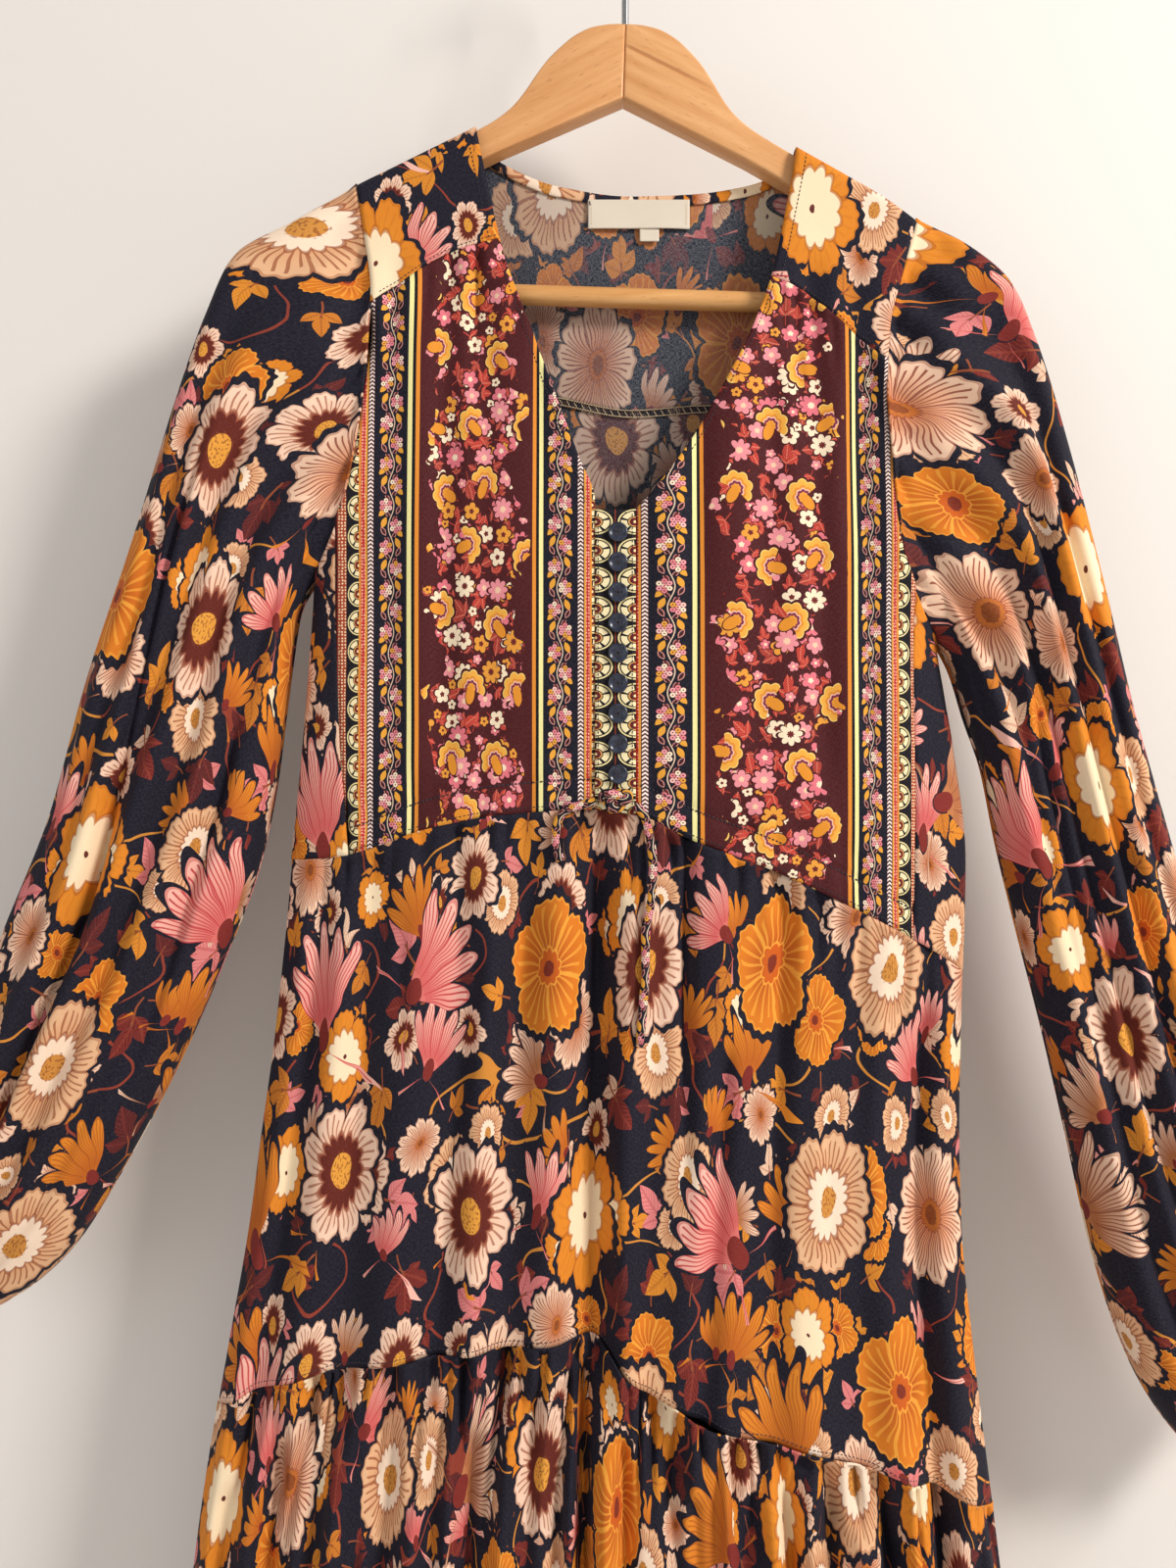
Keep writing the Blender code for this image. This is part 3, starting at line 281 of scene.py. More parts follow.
def front_y(x, z):
    return -front_depth(z) * roundness(x, z) * over_shoulder(x, z) + gathers(x, z)


def back_y(x, z):
    return back_depth(z) * roundness(x, z) * over_shoulder(x, z)


def put(tree, kind, **settings):
    node = tree.nodes.new(kind)
    for key, value in settings.items():
        setattr(node, key, value)
    return node


def join(tree, value, socket):
    """Puts a number, colour or link into a socket."""
    if isinstance(value, bpy.types.NodeSocket):
        tree.links.new(value, socket)
    elif socket.type == "RGBA" and len(value) == 3:
        socket.default_value = (*value, 1)
    else:
        socket.default_value = value


def calc(tree, operation, *values, clamped=False):
    node = put(tree, "ShaderNodeMath", operation=operation, use_clamp=clamped)
    for value, socket in zip(values, node.inputs):
        join(tree, value, socket)
    return node.outputs[0]


def vector_calc(tree, operation, *values):
    node = put(tree, "ShaderNodeVectorMath", operation=operation)
    for value, socket in zip(values, node.inputs):
        join(tree, value, socket)
    return node.outputs["Value"] if operation == "LENGTH" else node.outputs["Vector"]


def split(tree, vector):
    node = put(tree, "ShaderNodeSeparateXYZ")
    join(tree, vector, node.inputs[0])
    return node.outputs


def combine(tree, x, y, z=0.0):
    node = put(tree, "ShaderNodeCombineXYZ")
    for value, socket in zip((x, y, z), node.inputs):
        join(tree, value, socket)
    return node.outputs[0]


def stepped(tree, value, stops, mode="CONSTANT"):
    """A colour for each stretch of a value from 0 to 1. A stop is its start and a colour or a number."""
    node = put(tree, "ShaderNodeValToRGB")
    node.color_ramp.interpolation = mode
    marks = node.color_ramp.elements
    while len(marks) < len(stops):
        marks.new(0.5)
    for mark, (start, look) in zip(marks, stops):
        mark.position = start
    for mark, (start, look) in zip(marks, stops):
        grey = isinstance(look, (int, float))
        mark.color = (look, look, look, 1) if grey else (*(rgb(look) if isinstance(look, str) else look), 1)
    join(tree, value, node.inputs[0])
    return node.outputs[0]


def over(tree, cover, under, top):
    """The top colour where cover is 1, and the one under it where cover is 0."""
    node = put(tree, "ShaderNodeMix", data_type="RGBA")
    for value, key in ((cover, 0), (under, 6), (top, 7)):
        value = rgb(value) if isinstance(value, str) else value
        join(tree, value, node.inputs[key])
    return node.outputs[2]


def between(tree, value, low, high):
    """Rises from 0 at low to 1 at high."""
    node = put(tree, "ShaderNodeMapRange")
    for given, key in ((value, 0), (low, 1), (high, 2)):
        join(tree, given, node.inputs[key])
    return node.outputs[0]


def noise(tree, place, scale, detail=2.0, dimensions="2D"):
    node = put(tree, "ShaderNodeTexNoise", noise_dimensions=dimensions)
    join(tree, place, node.inputs["Vector"])
    node.inputs["Scale"].default_value = scale
    node.inputs["Detail"].default_value = detail
    return node.outputs[0]


def cells(tree, place, jitter):
    """The nearest of a jittered lattice's points: where it is, and three chances for it."""
    node = put(tree, "ShaderNodeTexVoronoi", voronoi_dimensions="2D")
    join(tree, place, node.inputs["Vector"])
    node.inputs["Scale"].default_value = 1
    node.inputs["Randomness"].default_value = jitter
    return node.outputs["Position"], split(tree, node.outputs["Color"])


def new_group(name, ins, outs):
    """A node group with its input and output sockets."""
    tree = bpy.data.node_groups.new(name, "ShaderNodeTree")
    kinds = {"vector": "NodeSocketVector", "number": "NodeSocketFloat", "colour": "NodeSocketColor"}
    for word, kind in ins:
        tree.interface.new_socket(name=word, in_out="INPUT", socket_type=kinds[kind])
    for word, kind in outs:
        tree.interface.new_socket(name=word, in_out="OUTPUT", socket_type=kinds[kind])
    return tree, put(tree, "NodeGroupInput").outputs, put(tree, "NodeGroupOutput").inputs


def use(tree, group, *values):
    node = put(tree, "ShaderNodeGroup", node_tree=group)
    for value, socket in zip(values, node.inputs):
        join(tree, value, socket)
    return node.outputs


def scatter(tree, place, spacing, reach, jitter, shift, swing):
    """Motif places on a staggered lattice. Gives the point in a motif's own unit frame, and its chances."""
    moved = vector_calc(tree, "ADD", place, (*shift, 0))
    scaled = vector_calc(tree, "DIVIDE", moved, (*spacing, 1))
    x, y, _ = split(tree, scaled)
    leaning = combine(tree, calc(tree, "MULTIPLY_ADD", y, 0.5, x), y)
    spot, chances = cells(tree, leaning, jitter)
    away_x, away_y, _ = split(tree, vector_calc(tree, "SUBTRACT", leaning, spot))
    upright = combine(tree, calc(tree, "MULTIPLY_ADD", away_y, -0.5, away_x), away_y)
    unit = vector_calc(tree, "MULTIPLY", upright, (spacing[0] / reach[0], spacing[1] / reach[1], 1))
    turn = put(tree, "ShaderNodeVectorRotate", rotation_type="Z_AXIS")
    join(tree, unit, turn.inputs["Vector"])
    angle = calc(tree, "MULTIPLY", calc(tree, "SUBTRACT", chances[1], 0.5), swing)
    join(tree, angle, turn.inputs["Angle"])
    return turn.outputs[0], chances[0], chances[2]


# Kinds of flower by chance: daisy, six-lobed, ringed, rosette, poppy, and the
# three that are seen from the side: lily, tulip and trumpet.
KIND_STARTS = (0.0, 0.17, 0.33, 0.47, 0.60, 0.70, 0.84, 0.93)


def by_kind(tree, chance, looks):
    return stepped(tree, chance, list(zip(KIND_STARTS, looks)))


petal_edge, given, gives = new_group(
    "petal_edge", [("Place", "vector"), ("Chance", "number")], [("Ratio", "number")])
tree = petal_edge
x, y, _ = split(tree, given[0])
radius = vector_calc(tree, "LENGTH", given[0])
angle = calc(tree, "ARCTAN2", y, x)
count = calc(tree, "ROUND", calc(tree, "MULTIPLY", by_kind(
    tree, given[1], (0.55, 0.3, 0.4, 0.45, 0.25, 0.3, 0.3, 0.3)), 20))
wave = calc(tree, "ABSOLUTE", calc(tree, "COSINE", calc(tree, "MULTIPLY", calc(
    tree, "MULTIPLY", angle, count), 0.5)))
ruffle = calc(tree, "MULTIPLY", calc(tree, "COSINE", calc(tree, "MULTIPLY", angle, 31)), 0.022)
base = by_kind(tree, given[1], (0.74, 0.7, 0.68, 0.84, 0.76, 0.7, 0.7, 0.7))
open_reach = calc(tree, "ADD", ruffle, calc(tree, "ADD", base, calc(
    tree, "MULTIPLY", calc(tree, "SUBTRACT", 1, base), calc(tree, "POWER", wave, 0.5))))
open_ratio = calc(tree, "DIVIDE", radius, open_reach)
raised = calc(tree, "ADD", y, 0.78)
fan_angle = calc(tree, "ARCTAN2", x, raised)
fan_radius = calc(tree, "DIVIDE", vector_calc(tree, "LENGTH", combine(tree, x, raised)), 1.72)
fan_wave = calc(tree, "ABSOLUTE", calc(tree, "COSINE", calc(tree, "MULTIPLY", fan_angle, 9.8)))
fan_reach = calc(tree, "MULTIPLY", calc(
    tree, "MULTIPLY_ADD", fan_wave, 0.36, 0.64), calc(
    tree, "MULTIPLY_ADD", calc(tree, "MULTIPLY", fan_angle, fan_angle), -0.22, 1))
past_fan = calc(tree, "MULTIPLY", calc(tree, "GREATER_THAN", calc(tree, "ABSOLUTE", fan_angle), 0.8), 9)
fan_ratio = calc(tree, "ADD", calc(tree, "DIVIDE", fan_radius, fan_reach), past_fan)
cup = vector_calc(tree, "LENGTH", combine(
    tree, calc(tree, "DIVIDE", x, 0.17), calc(tree, "DIVIDE", calc(tree, "ADD", y, 0.66), 0.26)))
fan_ratio = calc(tree, "MINIMUM", fan_ratio, cup)
is_fan = calc(tree, "GREATER_THAN", given[1], KIND_STARTS[5])
join(tree, calc(tree, "MULTIPLY_ADD", calc(tree, "SUBTRACT", fan_ratio, open_ratio), is_fan, open_ratio),
     gives[0])

flower_paint, given, gives = new_group(
    "flower_paint", [("Place", "vector"), ("Chance", "number"), ("Ratio", "number")], [("Colour", "colour")])
tree = flower_paint
place, chance, ratio = given[0], given[1], given[2]
x, y, _ = split(tree, place)
radius = vector_calc(tree, "LENGTH", place)
is_fan = calc(tree, "GREATER_THAN", chance, KIND_STARTS[5])
raised = calc(tree, "ADD", y, 0.78)
angle = calc(tree, "ARCTAN2", y, x)
fan_angle = calc(tree, "ARCTAN2", x, raised)
fan_radius = calc(tree, "DIVIDE", vector_calc(tree, "LENGTH", combine(tree, x, raised)), 1.72)
count = calc(tree, "ROUND", calc(tree, "MULTIPLY", by_kind(
    tree, chance, (0.55, 0.3, 0.4, 0.45, 0.25, 0.3, 0.3, 0.3)), 20))
half_turns = calc(tree, "MULTIPLY", calc(tree, "MULTIPLY", angle, count), 0.5)
half_turns = calc(tree, "MULTIPLY_ADD", calc(
    tree, "SUBTRACT", calc(tree, "MULTIPLY", fan_angle, 9.8), half_turns), is_fan, half_turns)
far = calc(tree, "MULTIPLY_ADD", calc(tree, "SUBTRACT", fan_radius, ratio), is_fan, ratio)
wave = calc(tree, "ABSOLUTE", calc(tree, "COSINE", half_turns))
inner = by_kind(tree, chance, (
    "#cf8a62", "#d98a26", "#dcae90", "#cf9468", "#b85a18", "#d5706a", "#bd651e", "#b8764a"))
outer = by_kind(tree, chance, (
    "#e9c4a8", "#d98324", "#ecc9b0", "#dfb189", "#d3781f", "#ecb6a6", "#d98426", "#e9c6ad"))
vein = by_kind(tree, chance, (
    "#8a4230", "#b5641a", "#96523a", "#96522f", "#eea63e", "#b8323c", "#a04e16", "#85462e"))
petals = over(tree, between(tree, far, 0.3, 0.85), inner, outer)
fine = calc(tree, "ABSOLUTE", calc(tree, "SINE", calc(tree, "MULTIPLY_ADD", radius, 1.6, calc(
    tree, "MULTIPLY", half_turns, 5))))
line_cover = calc(tree, "MULTIPLY", calc(tree, "LESS_THAN", fine, 0.46), calc(
    tree, "MULTIPLY", calc(tree, "GREATER_THAN", far, 0.22), calc(
        tree, "LESS_THAN", calc(tree, "MULTIPLY_ADD", wave, -0.22, far), 0.68)))
line_strength = by_kind(tree, chance, (0.9, 0.22, 0.75, 0.8, 0.6, 0.9, 0.62, 0.85))
petals = over(tree, calc(tree, "MULTIPLY", line_cover, line_strength), petals, vein)
seam_cover = calc(tree, "MULTIPLY", calc(tree, "LESS_THAN", wave, 0.14), calc(tree, "GREATER_THAN", far, 0.2))
petals = over(tree, calc(tree, "MULTIPLY", seam_cover, 0.75), petals, vein)
rim_cover = calc(tree, "MULTIPLY", calc(tree, "GREATER_THAN", ratio, 0.955), 0.5)
petals = over(tree, rim_cover, petals, vein)
scallop = calc(tree, "MULTIPLY_ADD", calc(tree, "ABSOLUTE", calc(tree, "COSINE", calc(
    tree, "MULTIPLY", half_turns, 2))), 0.2, 0.8)
ring_size = calc(tree, "MULTIPLY", scallop, by_kind(
    tree, chance, (0.24, 0.6, 0.56, 0.52, 0.3, 0.0, 0.0, 0.0)))
ring_ratio = calc(tree, "DIVIDE", radius, calc(tree, "MAXIMUM", ring_size, 0.001))
ring = by_kind(tree, chance, (
    "#b8682c", "#f2dcb8", "#5f2318", "#f0d8c0", "#c45c1a", "#c23f46", "#c9742a", "#bd8355"))
painted = over(tree, calc(tree, "LESS_THAN", ring_ratio, 1), petals, ring)
ring_line = calc(tree, "LESS_THAN", calc(tree, "ABSOLUTE", calc(tree, "SUBTRACT", ring_ratio, 1)), 0.07)
painted = over(tree, calc(tree, "MULTIPLY", ring_line, 0.75), painted, vein)
heart_size = by_kind(tree, chance, (0.13, 0.05, 0.24, 0.2, 0.12, 0.0, 0.0, 0.0))
heart_ratio = calc(tree, "DIVIDE", radius, calc(tree, "MAXIMUM", heart_size, 0.001))
heart = by_kind(tree, chance, (
    "#8c4a22", "#5a2a26", "#dd9a3c", "#c98a3e", "#7a2c1c", "#c23f46", "#c9742a", "#bd8355"))
painted = over(tree, calc(tree, "LESS_THAN", heart_ratio, 1), painted, heart)
stipple = calc(tree, "GREATER_THAN", noise(tree, place, 22, 0), 0.6)
heart_zone = calc(tree, "MULTIPLY", calc(tree, "LESS_THAN", heart_ratio, 1.15), stipple)
painted = over(tree, calc(tree, "MULTIPLY", heart_zone, 0.6), painted, "#7d3a20")
cup = vector_calc(tree, "LENGTH", combine(
    tree, calc(tree, "DIVIDE", x, 0.17), calc(tree, "DIVIDE", calc(tree, "ADD", y, 0.66), 0.26)))
cup_cover = calc(tree, "MULTIPLY", is_fan, calc(tree, "LESS_THAN", cup, 1))
painted = over(tree, cup_cover, painted, "#7c2a24")
join(tree, painted, gives[0])

leaf_spray, given, gives = new_group(
    "leaf_spray", [("Place", "vector"), ("Chance", "number")],
    [("Colour", "colour"), ("Cover", "number"), ("Ribs", "number")])
tree = leaf_spray
x, y, _ = split(tree, given[0])
mirrored = combine(tree, calc(tree, "ADD", x, 0.35), calc(tree, "ABSOLUTE", y))
turn = put(tree, "ShaderNodeVectorRotate", rotation_type="Z_AXIS")
join(tree, mirrored, turn.inputs["Vector"])
turn.inputs["Angle"].default_value = -0.95
covers, ribs = [], []
for source, start, size in ((turn.outputs[0], 0.03, 0.82), (given[0], -0.1, 1.02)):
    along, side, _ = split(tree, source)
    along = calc(tree, "DIVIDE", calc(tree, "SUBTRACT", along, start), size)
    side = calc(tree, "ABSOLUTE", side)
    width = calc(tree, "MULTIPLY", calc(tree, "MULTIPLY", along, calc(tree, "SUBTRACT", 1, along)), calc(
        tree, "MAXIMUM", calc(tree, "MULTIPLY_ADD", along, -0.75, 1.55 * size), 0))
    covers.append(calc(tree, "LESS_THAN", side, width))
    branch = calc(tree, "FRACT", calc(tree, "MULTIPLY", calc(tree, "SUBTRACT", along, side), 7))
    ribs.append(calc(tree, "MAXIMUM", calc(tree, "LESS_THAN", side, 0.035), calc(
        tree, "LESS_THAN", branch, 0.24)))
stalk = calc(tree, "MULTIPLY", calc(tree, "LESS_THAN", calc(tree, "ABSOLUTE", y), 0.035), calc(
    tree, "LESS_THAN", calc(tree, "ABSOLUTE", calc(tree, "ADD", x, 0.5)), 0.45))
leaf = stepped(tree, given[1], [
    (0, "#6a231f"), (0.28, "#d98a2c"), (0.48, "#54201f"),
    (0.64, "#e6c2a6"), (0.74, "#c97a28"), (0.88, "#d98280")])
rib_paint = stepped(tree, given[1], [
    (0, "#94402f"), (0.28, "#a8621f"), (0.48, "#7a302a"),
    (0.64, "#9c5e44"), (0.74, "#8e4a1e"), (0.88, "#b04a50")])
rib_cover = calc(tree, "MAXIMUM", calc(tree, "MULTIPLY", covers[1], ribs[1]), calc(
    tree, "MULTIPLY", calc(tree, "SUBTRACT", 1, covers[1]), ribs[0]))
painted = over(tree, calc(tree, "MULTIPLY", rib_cover, 0.55), leaf, rib_paint)
all_leaves = calc(tree, "MAXIMUM", covers[0], covers[1])
join(tree, over(tree, all_leaves, "#8f4a2c", painted), gives[0])
join(tree, calc(tree, "MAXIMUM", all_leaves, stalk), gives[1])
join(tree, rib_cover, gives[2])

flower_print, given, gives = new_group("flower_print", [("Place", "vector")], [("Colour", "colour")])
tree = flower_print
place = given[0]
drift = put(tree, "ShaderNodeTexNoise", noise_dimensions="2D")
join(tree, place, drift.inputs["Vector"])
drift.inputs["Scale"].default_value = 0.035
drift.inputs["Detail"].default_value = 1
sway = vector_calc(tree, "MULTIPLY", vector_calc(
    tree, "SUBTRACT", drift.outputs["Color"], (0.5, 0.5, 0.5)), (9, 9, 0))
place = vector_calc(tree, "ADD", place, sway)
ground = over(tree, noise(tree, place, 0.9, 1), "#15141f", "#1d1b2a")
contour = calc(tree, "ABSOLUTE", calc(tree, "SUBTRACT", noise(tree, place, 0.017, 0), 0.5))
stem_cover = calc(tree, "LESS_THAN", contour, 0.0085)
painted = over(tree, stem_cover, ground, over(
    tree, calc(tree, "GREATER_THAN", noise(tree, place, 0.006, 0), 0.5), "#8a3a2a", "#c98434"))
for spacing, reach, jitter, shift in (
    ((23, 34), (9.4, 14.2), 0.3, (3.0, 7.0)),
    ((35, 52), (14.4, 21.5), 0.3, (11.0, 23.0)),
):
    spot, chance, other = scatter(tree, place, spacing, reach, jitter, shift, 6.28)
    spray = use(tree, leaf_spray, spot, chance)
    kept = calc(tree, "MULTIPLY", spray[1], calc(tree, "GREATER_THAN", other, 0.22))
    painted = over(tree, kept, painted, spray[0])
chosen_place, chosen_chance, chosen_ratio = None, None, None
for spacing, reach, jitter, shift in (
    ((40, 62), (11.5, 17.5), 0.4, (17.0, 9.0)),
    ((54, 86), (17, 27), 0.35, (5.0, 31.0)),
    ((80, 126), (26, 42), 0.28, (23.0, 51.0)),
):
    spot, chance, other = scatter(tree, place, spacing, reach, jitter, shift, 2.6)
    ratio = use(tree, petal_edge, spot, chance)[0]
    if chosen_place is None:
        chosen_place, chosen_chance, chosen_ratio = spot, chance, ratio
        continue
    covered = calc(tree, "LESS_THAN", ratio, 1.13)
    picked = put(tree, "ShaderNodeMix", data_type="VECTOR")
    for value, key in ((covered, 0), (chosen_place, 4), (spot, 5)):
        join(tree, value, picked.inputs[key])
    chosen_place = picked.outputs[1]
    chosen_chance = calc(tree, "MULTIPLY_ADD", calc(
        tree, "SUBTRACT", chance, chosen_chance), covered, chosen_chance)
    chosen_ratio = calc(tree, "MULTIPLY_ADD", calc(
        tree, "SUBTRACT", ratio, chosen_ratio), covered, chosen_ratio)
flowers = use(tree, flower_paint, chosen_place, chosen_chance, chosen_ratio)[0]
painted = over(tree, calc(tree, "LESS_THAN", chosen_ratio, 1.13), painted, ground)
painted = over(tree, calc(tree, "LESS_THAN", chosen_ratio, 1), painted, flowers)
join(tree, painted, gives[0])

# The border print, by the distance from the middle of its burgundy band.
border_print, given, gives = new_group("border_print", [("Place", "vector")], [("Colour", "colour")])
tree = border_print
across, along, _ = split(tree, given[0])
out = calc(tree, "ABSOLUTE", across)
BAND_SCALE = 100
bands = stepped(tree, calc(tree, "DIVIDE", out, BAND_SCALE), [(start / BAND_SCALE, look) for start, look in (
    (0, "#4a181a"), (35, "#dd8a30"), (37.4, "#121015"), (39.2, "#efe7a0"), (42, "#171622"),
    (63.5, "#4c181b"), (67.5, "#dd9a3a"), (68.6, "#b8332c"), (70.8, "#d98a38"), (72.3, "#171419"),
    (83, "#a8452a"), (88.5, "#4a181a"))])


def dots(tree, place, size, jitter, share):
    """Small round dots: 1 inside one, and its chances."""
    spot, chances = cells(tree, vector_calc(tree, "DIVIDE", place, (size, size, 1)), jitter)
    away = vector_calc(tree, "LENGTH", vector_calc(
        tree, "SUBTRACT", vector_calc(tree, "DIVIDE", place, (size, size, 1)), spot))
    return calc(tree, "LESS_THAN", away, share), chances, away


def inside(tree, value, low, high):
    above = calc(tree, "GREATER_THAN", value, low)
    return calc(tree, "MULTIPLY", above, calc(tree, "LESS_THAN", value, high))


# Vine on the navy stripe: a winding stem, and a flower cluster and leaves on each side in turn.
VINE_PITCH, VINE_CENTRE = 12.5, 52.7
turn_number = calc(tree, "DIVIDE", along, VINE_PITCH)
turn_index = calc(tree, "FLOOR", turn_number)
odd = calc(tree, "FRACT", calc(tree, "MULTIPLY", turn_index, 0.5))
flip = calc(tree, "MULTIPLY_ADD", odd, 4, -1)
vine_x = calc(tree, "MULTIPLY", calc(tree, "SUBTRACT", out, VINE_CENTRE), flip)
vine_y = calc(tree, "MULTIPLY", calc(tree, "SUBTRACT", calc(tree, "FRACT", turn_number), 0.5), VINE_PITCH)
bow = calc(tree, "MULTIPLY", calc(tree, "COSINE", calc(tree, "MULTIPLY", vine_y, math.pi / VINE_PITCH)), 1.8)
stem = calc(tree, "LESS_THAN", calc(tree, "ABSOLUTE", calc(tree, "ADD", vine_x, bow)), 0.33)
painted = over(tree, calc(tree, "MULTIPLY", stem, inside(tree, out, 43, 62)), bands, "#d9c0a8")
Leaflet = namedtuple("Leaflet", "x y turn length width paint edge")
for leaf in (
    Leaflet(-4.6, 2.6, 1.15, 3.6, 1.7, "#e3a03a", "#e3a03a"),
    Leaflet(-4.9, -2.6, 2.1, 3.1, 1.5, "#3d1c22", "#c98a80"),
    Leaflet(5.6, -3.9, 2.3, 3.3, 1.6, "#e3a03a", "#e3a03a"),
    Leaflet(2.0, -5.2, 0.8, 2.6, 1.2, "#3d1c22", "#c98a80"),
    Leaflet(2.4, 5.0, 0.9, 2.7, 1.2, "#5e2026", "#c98a80"),
):
    leaf_x, leaf_y = calc(tree, "SUBTRACT", vine_x, leaf.x), calc(tree, "SUBTRACT", vine_y, leaf.y)
    run = calc(tree, "ADD", calc(tree, "MULTIPLY", leaf_x, math.cos(leaf.turn) / leaf.length), calc(
        tree, "MULTIPLY", leaf_y, math.sin(leaf.turn) / leaf.length))
    wide = calc(tree, "ABSOLUTE", calc(tree, "SUBTRACT", calc(
        tree, "MULTIPLY", leaf_y, math.cos(leaf.turn) / leaf.width), calc(
        tree, "MULTIPLY", leaf_x, math.sin(leaf.turn) / leaf.width)))
    shape = calc(tree, "MULTIPLY_ADD", run, run, wide)
    painted = over(tree, calc(tree, "LESS_THAN", shape, 1), painted, over(
        tree, calc(tree, "LESS_THAN", shape, 0.62), leaf.edge, leaf.paint))
cluster_x, cluster_y = calc(tree, "SUBTRACT", vine_x, 3.3), calc(tree, "SUBTRACT", vine_y, 0.3)
sixths = calc(tree, "DIVIDE", calc(tree, "ARCTAN2", cluster_y, cluster_x), math.pi / 3)
fold_turn = calc(tree, "MULTIPLY", calc(tree, "SUBTRACT", calc(tree, "FRACT", sixths), 0.5), math.pi / 3)
cluster_reach = vector_calc(tree, "LENGTH", combine(tree, cluster_x, cluster_y))
along_petal = calc(tree, "MULTIPLY", cluster_reach, calc(tree, "COSINE", fold_turn))
beside_petal = calc(tree, "MULTIPLY", cluster_reach, calc(tree, "SINE", fold_turn))
to_dot = vector_calc(tree, "LENGTH", combine(tree, calc(tree, "SUBTRACT", along_petal, 2.95), beside_petal))
to_dot = calc(tree, "MINIMUM", to_dot, cluster_reach)
berry_chance = calc(tree, "FRACT", calc(tree, "ADD", calc(tree, "MULTIPLY", calc(
    tree, "FLOOR", sixths), 0.37), calc(tree, "MULTIPLY", turn_index, 0.61)))
berry_paint = stepped(tree, berry_chance, [
    (0, "#e79aa0"), (0.34, "#f2dfc4"), (0.55, "#e0a040"), (0.7, "#dd8088"), (0.88, "#f0c0b8")])
berry_paint = over(tree, calc(tree, "LESS_THAN", to_dot, 0.42), berry_paint, "#6c1f28")
painted = over(tree, calc(tree, "LESS_THAN", to_dot, 1.75), painted, "#4a1a24")
painted = over(tree, calc(tree, "LESS_THAN", to_dot, 1.4), painted, berry_paint)
painted = over(tree, calc(tree, "GREATER_THAN", out, 62.6), painted, bands)
painted = over(tree, calc(tree, "LESS_THAN", out, 43), painted, bands)
flat = combine(tree, out, along)
dot, _, _ = dots(tree, flat, 1.9, 0.3, 0.3)
painted = over(tree, calc(tree, "MULTIPLY", dot, inside(tree, out, 68.6, 70.8)), painted, "#f0b0a0")
painted = over(tree, calc(tree, "MULTIPLY", dot, inside(tree, out, 83.5, 88)), painted, "#f0d8b0")
chevron = calc(tree, "FRACT", calc(tree, "ADD", calc(tree, "DIVIDE", along, 2.4), calc(
    tree, "DIVIDE", calc(tree, "ABSOLUTE", calc(tree, "SUBTRACT", out, 65.5)), 3)))
painted = over(tree, calc(tree, "MULTIPLY", calc(tree, "LESS_THAN", chevron, 0.5), inside(
    tree, out, 63.9, 67.1)), painted, "#f2e4dc")
# Lace scallops along the panel's edge.
SCALLOP_PITCH = 17
step = calc(tree, "MULTIPLY", calc(tree, "SUBTRACT", calc(tree, "FRACT", calc(
    tree, "DIVIDE", along, SCALLOP_PITCH)), 0.5), SCALLOP_PITCH / 8.2)
from_edge = calc(tree, "DIVIDE", calc(tree, "SUBTRACT", out, 72.8), 10.2)
reach_there = vector_calc(tree, "LENGTH", combine(tree, step, from_edge))
leaflets = calc(tree, "ABSOLUTE", calc(tree, "SINE", calc(
    tree, "MULTIPLY", calc(tree, "ARCTAN2", from_edge, step), 2.5)))
lace = stepped(tree, reach_there, [
    (0, "#efd9a0"), (0.10, "#6c1f1f"), (0.30, "#e0a860"), (0.36, "#171419"), (0.42, "#f0e2b4"),
    (0.74, "#171419"), (0.82, "#ecdca0"), (0.91, "#171419")])
vein_zone = calc(tree, "MULTIPLY", calc(tree, "LESS_THAN", leaflets, 0.3), inside(
    tree, reach_there, 0.36, 0.8))
lace = over(tree, vein_zone, lace, "#171419")
painted = over(tree, calc(tree, "MULTIPLY", calc(tree, "LESS_THAN", reach_there, 1), inside(
    tree, out, 72.6, 83.2)), painted, lace)
# Bouquet on the burgundy band: red sprays, small flowers and amber carnations.
winding = calc(tree, "ADD", across, calc(tree, "MULTIPLY", calc(
    tree, "SINE", calc(tree, "MULTIPLY", along, 0.083)), 4))
loose = calc(tree, "MULTIPLY", calc(tree, "SUBTRACT", noise(tree, given[0], 0.07, 1), 0.5), 20)
depth_in = calc(tree, "ADD", calc(tree, "ABSOLUTE", winding), loose)
in_band = calc(tree, "LESS_THAN", out, 33.8)
bunch = calc(tree, "MULTIPLY", calc(tree, "LESS_THAN", depth_in, 25), in_band)
for spacing, reach, jitter, shift in (
    ((11, 15), (5.0, 6.9), 0.35, (1, 1)),
    ((16, 23), (7.2, 10.4), 0.35, (5, 8)),
):
    spot, chance, other = scatter(tree, given[0], spacing, reach, jitter, shift, 6.28)
    spray = use(tree, leaf_spray, spot, chance)
    red = over(tree, calc(tree, "GREATER_THAN", other, 0.6), "#b0241e", "#951f1c")
    red = over(tree, calc(tree, "MULTIPLY", spray[2], 0.7), red, "#e0826a")
    painted = over(tree, calc(tree, "MULTIPLY", spray[1], bunch), painted, red)
BLOOM_STARTS = (0.0, 0.3, 0.55, 0.78)
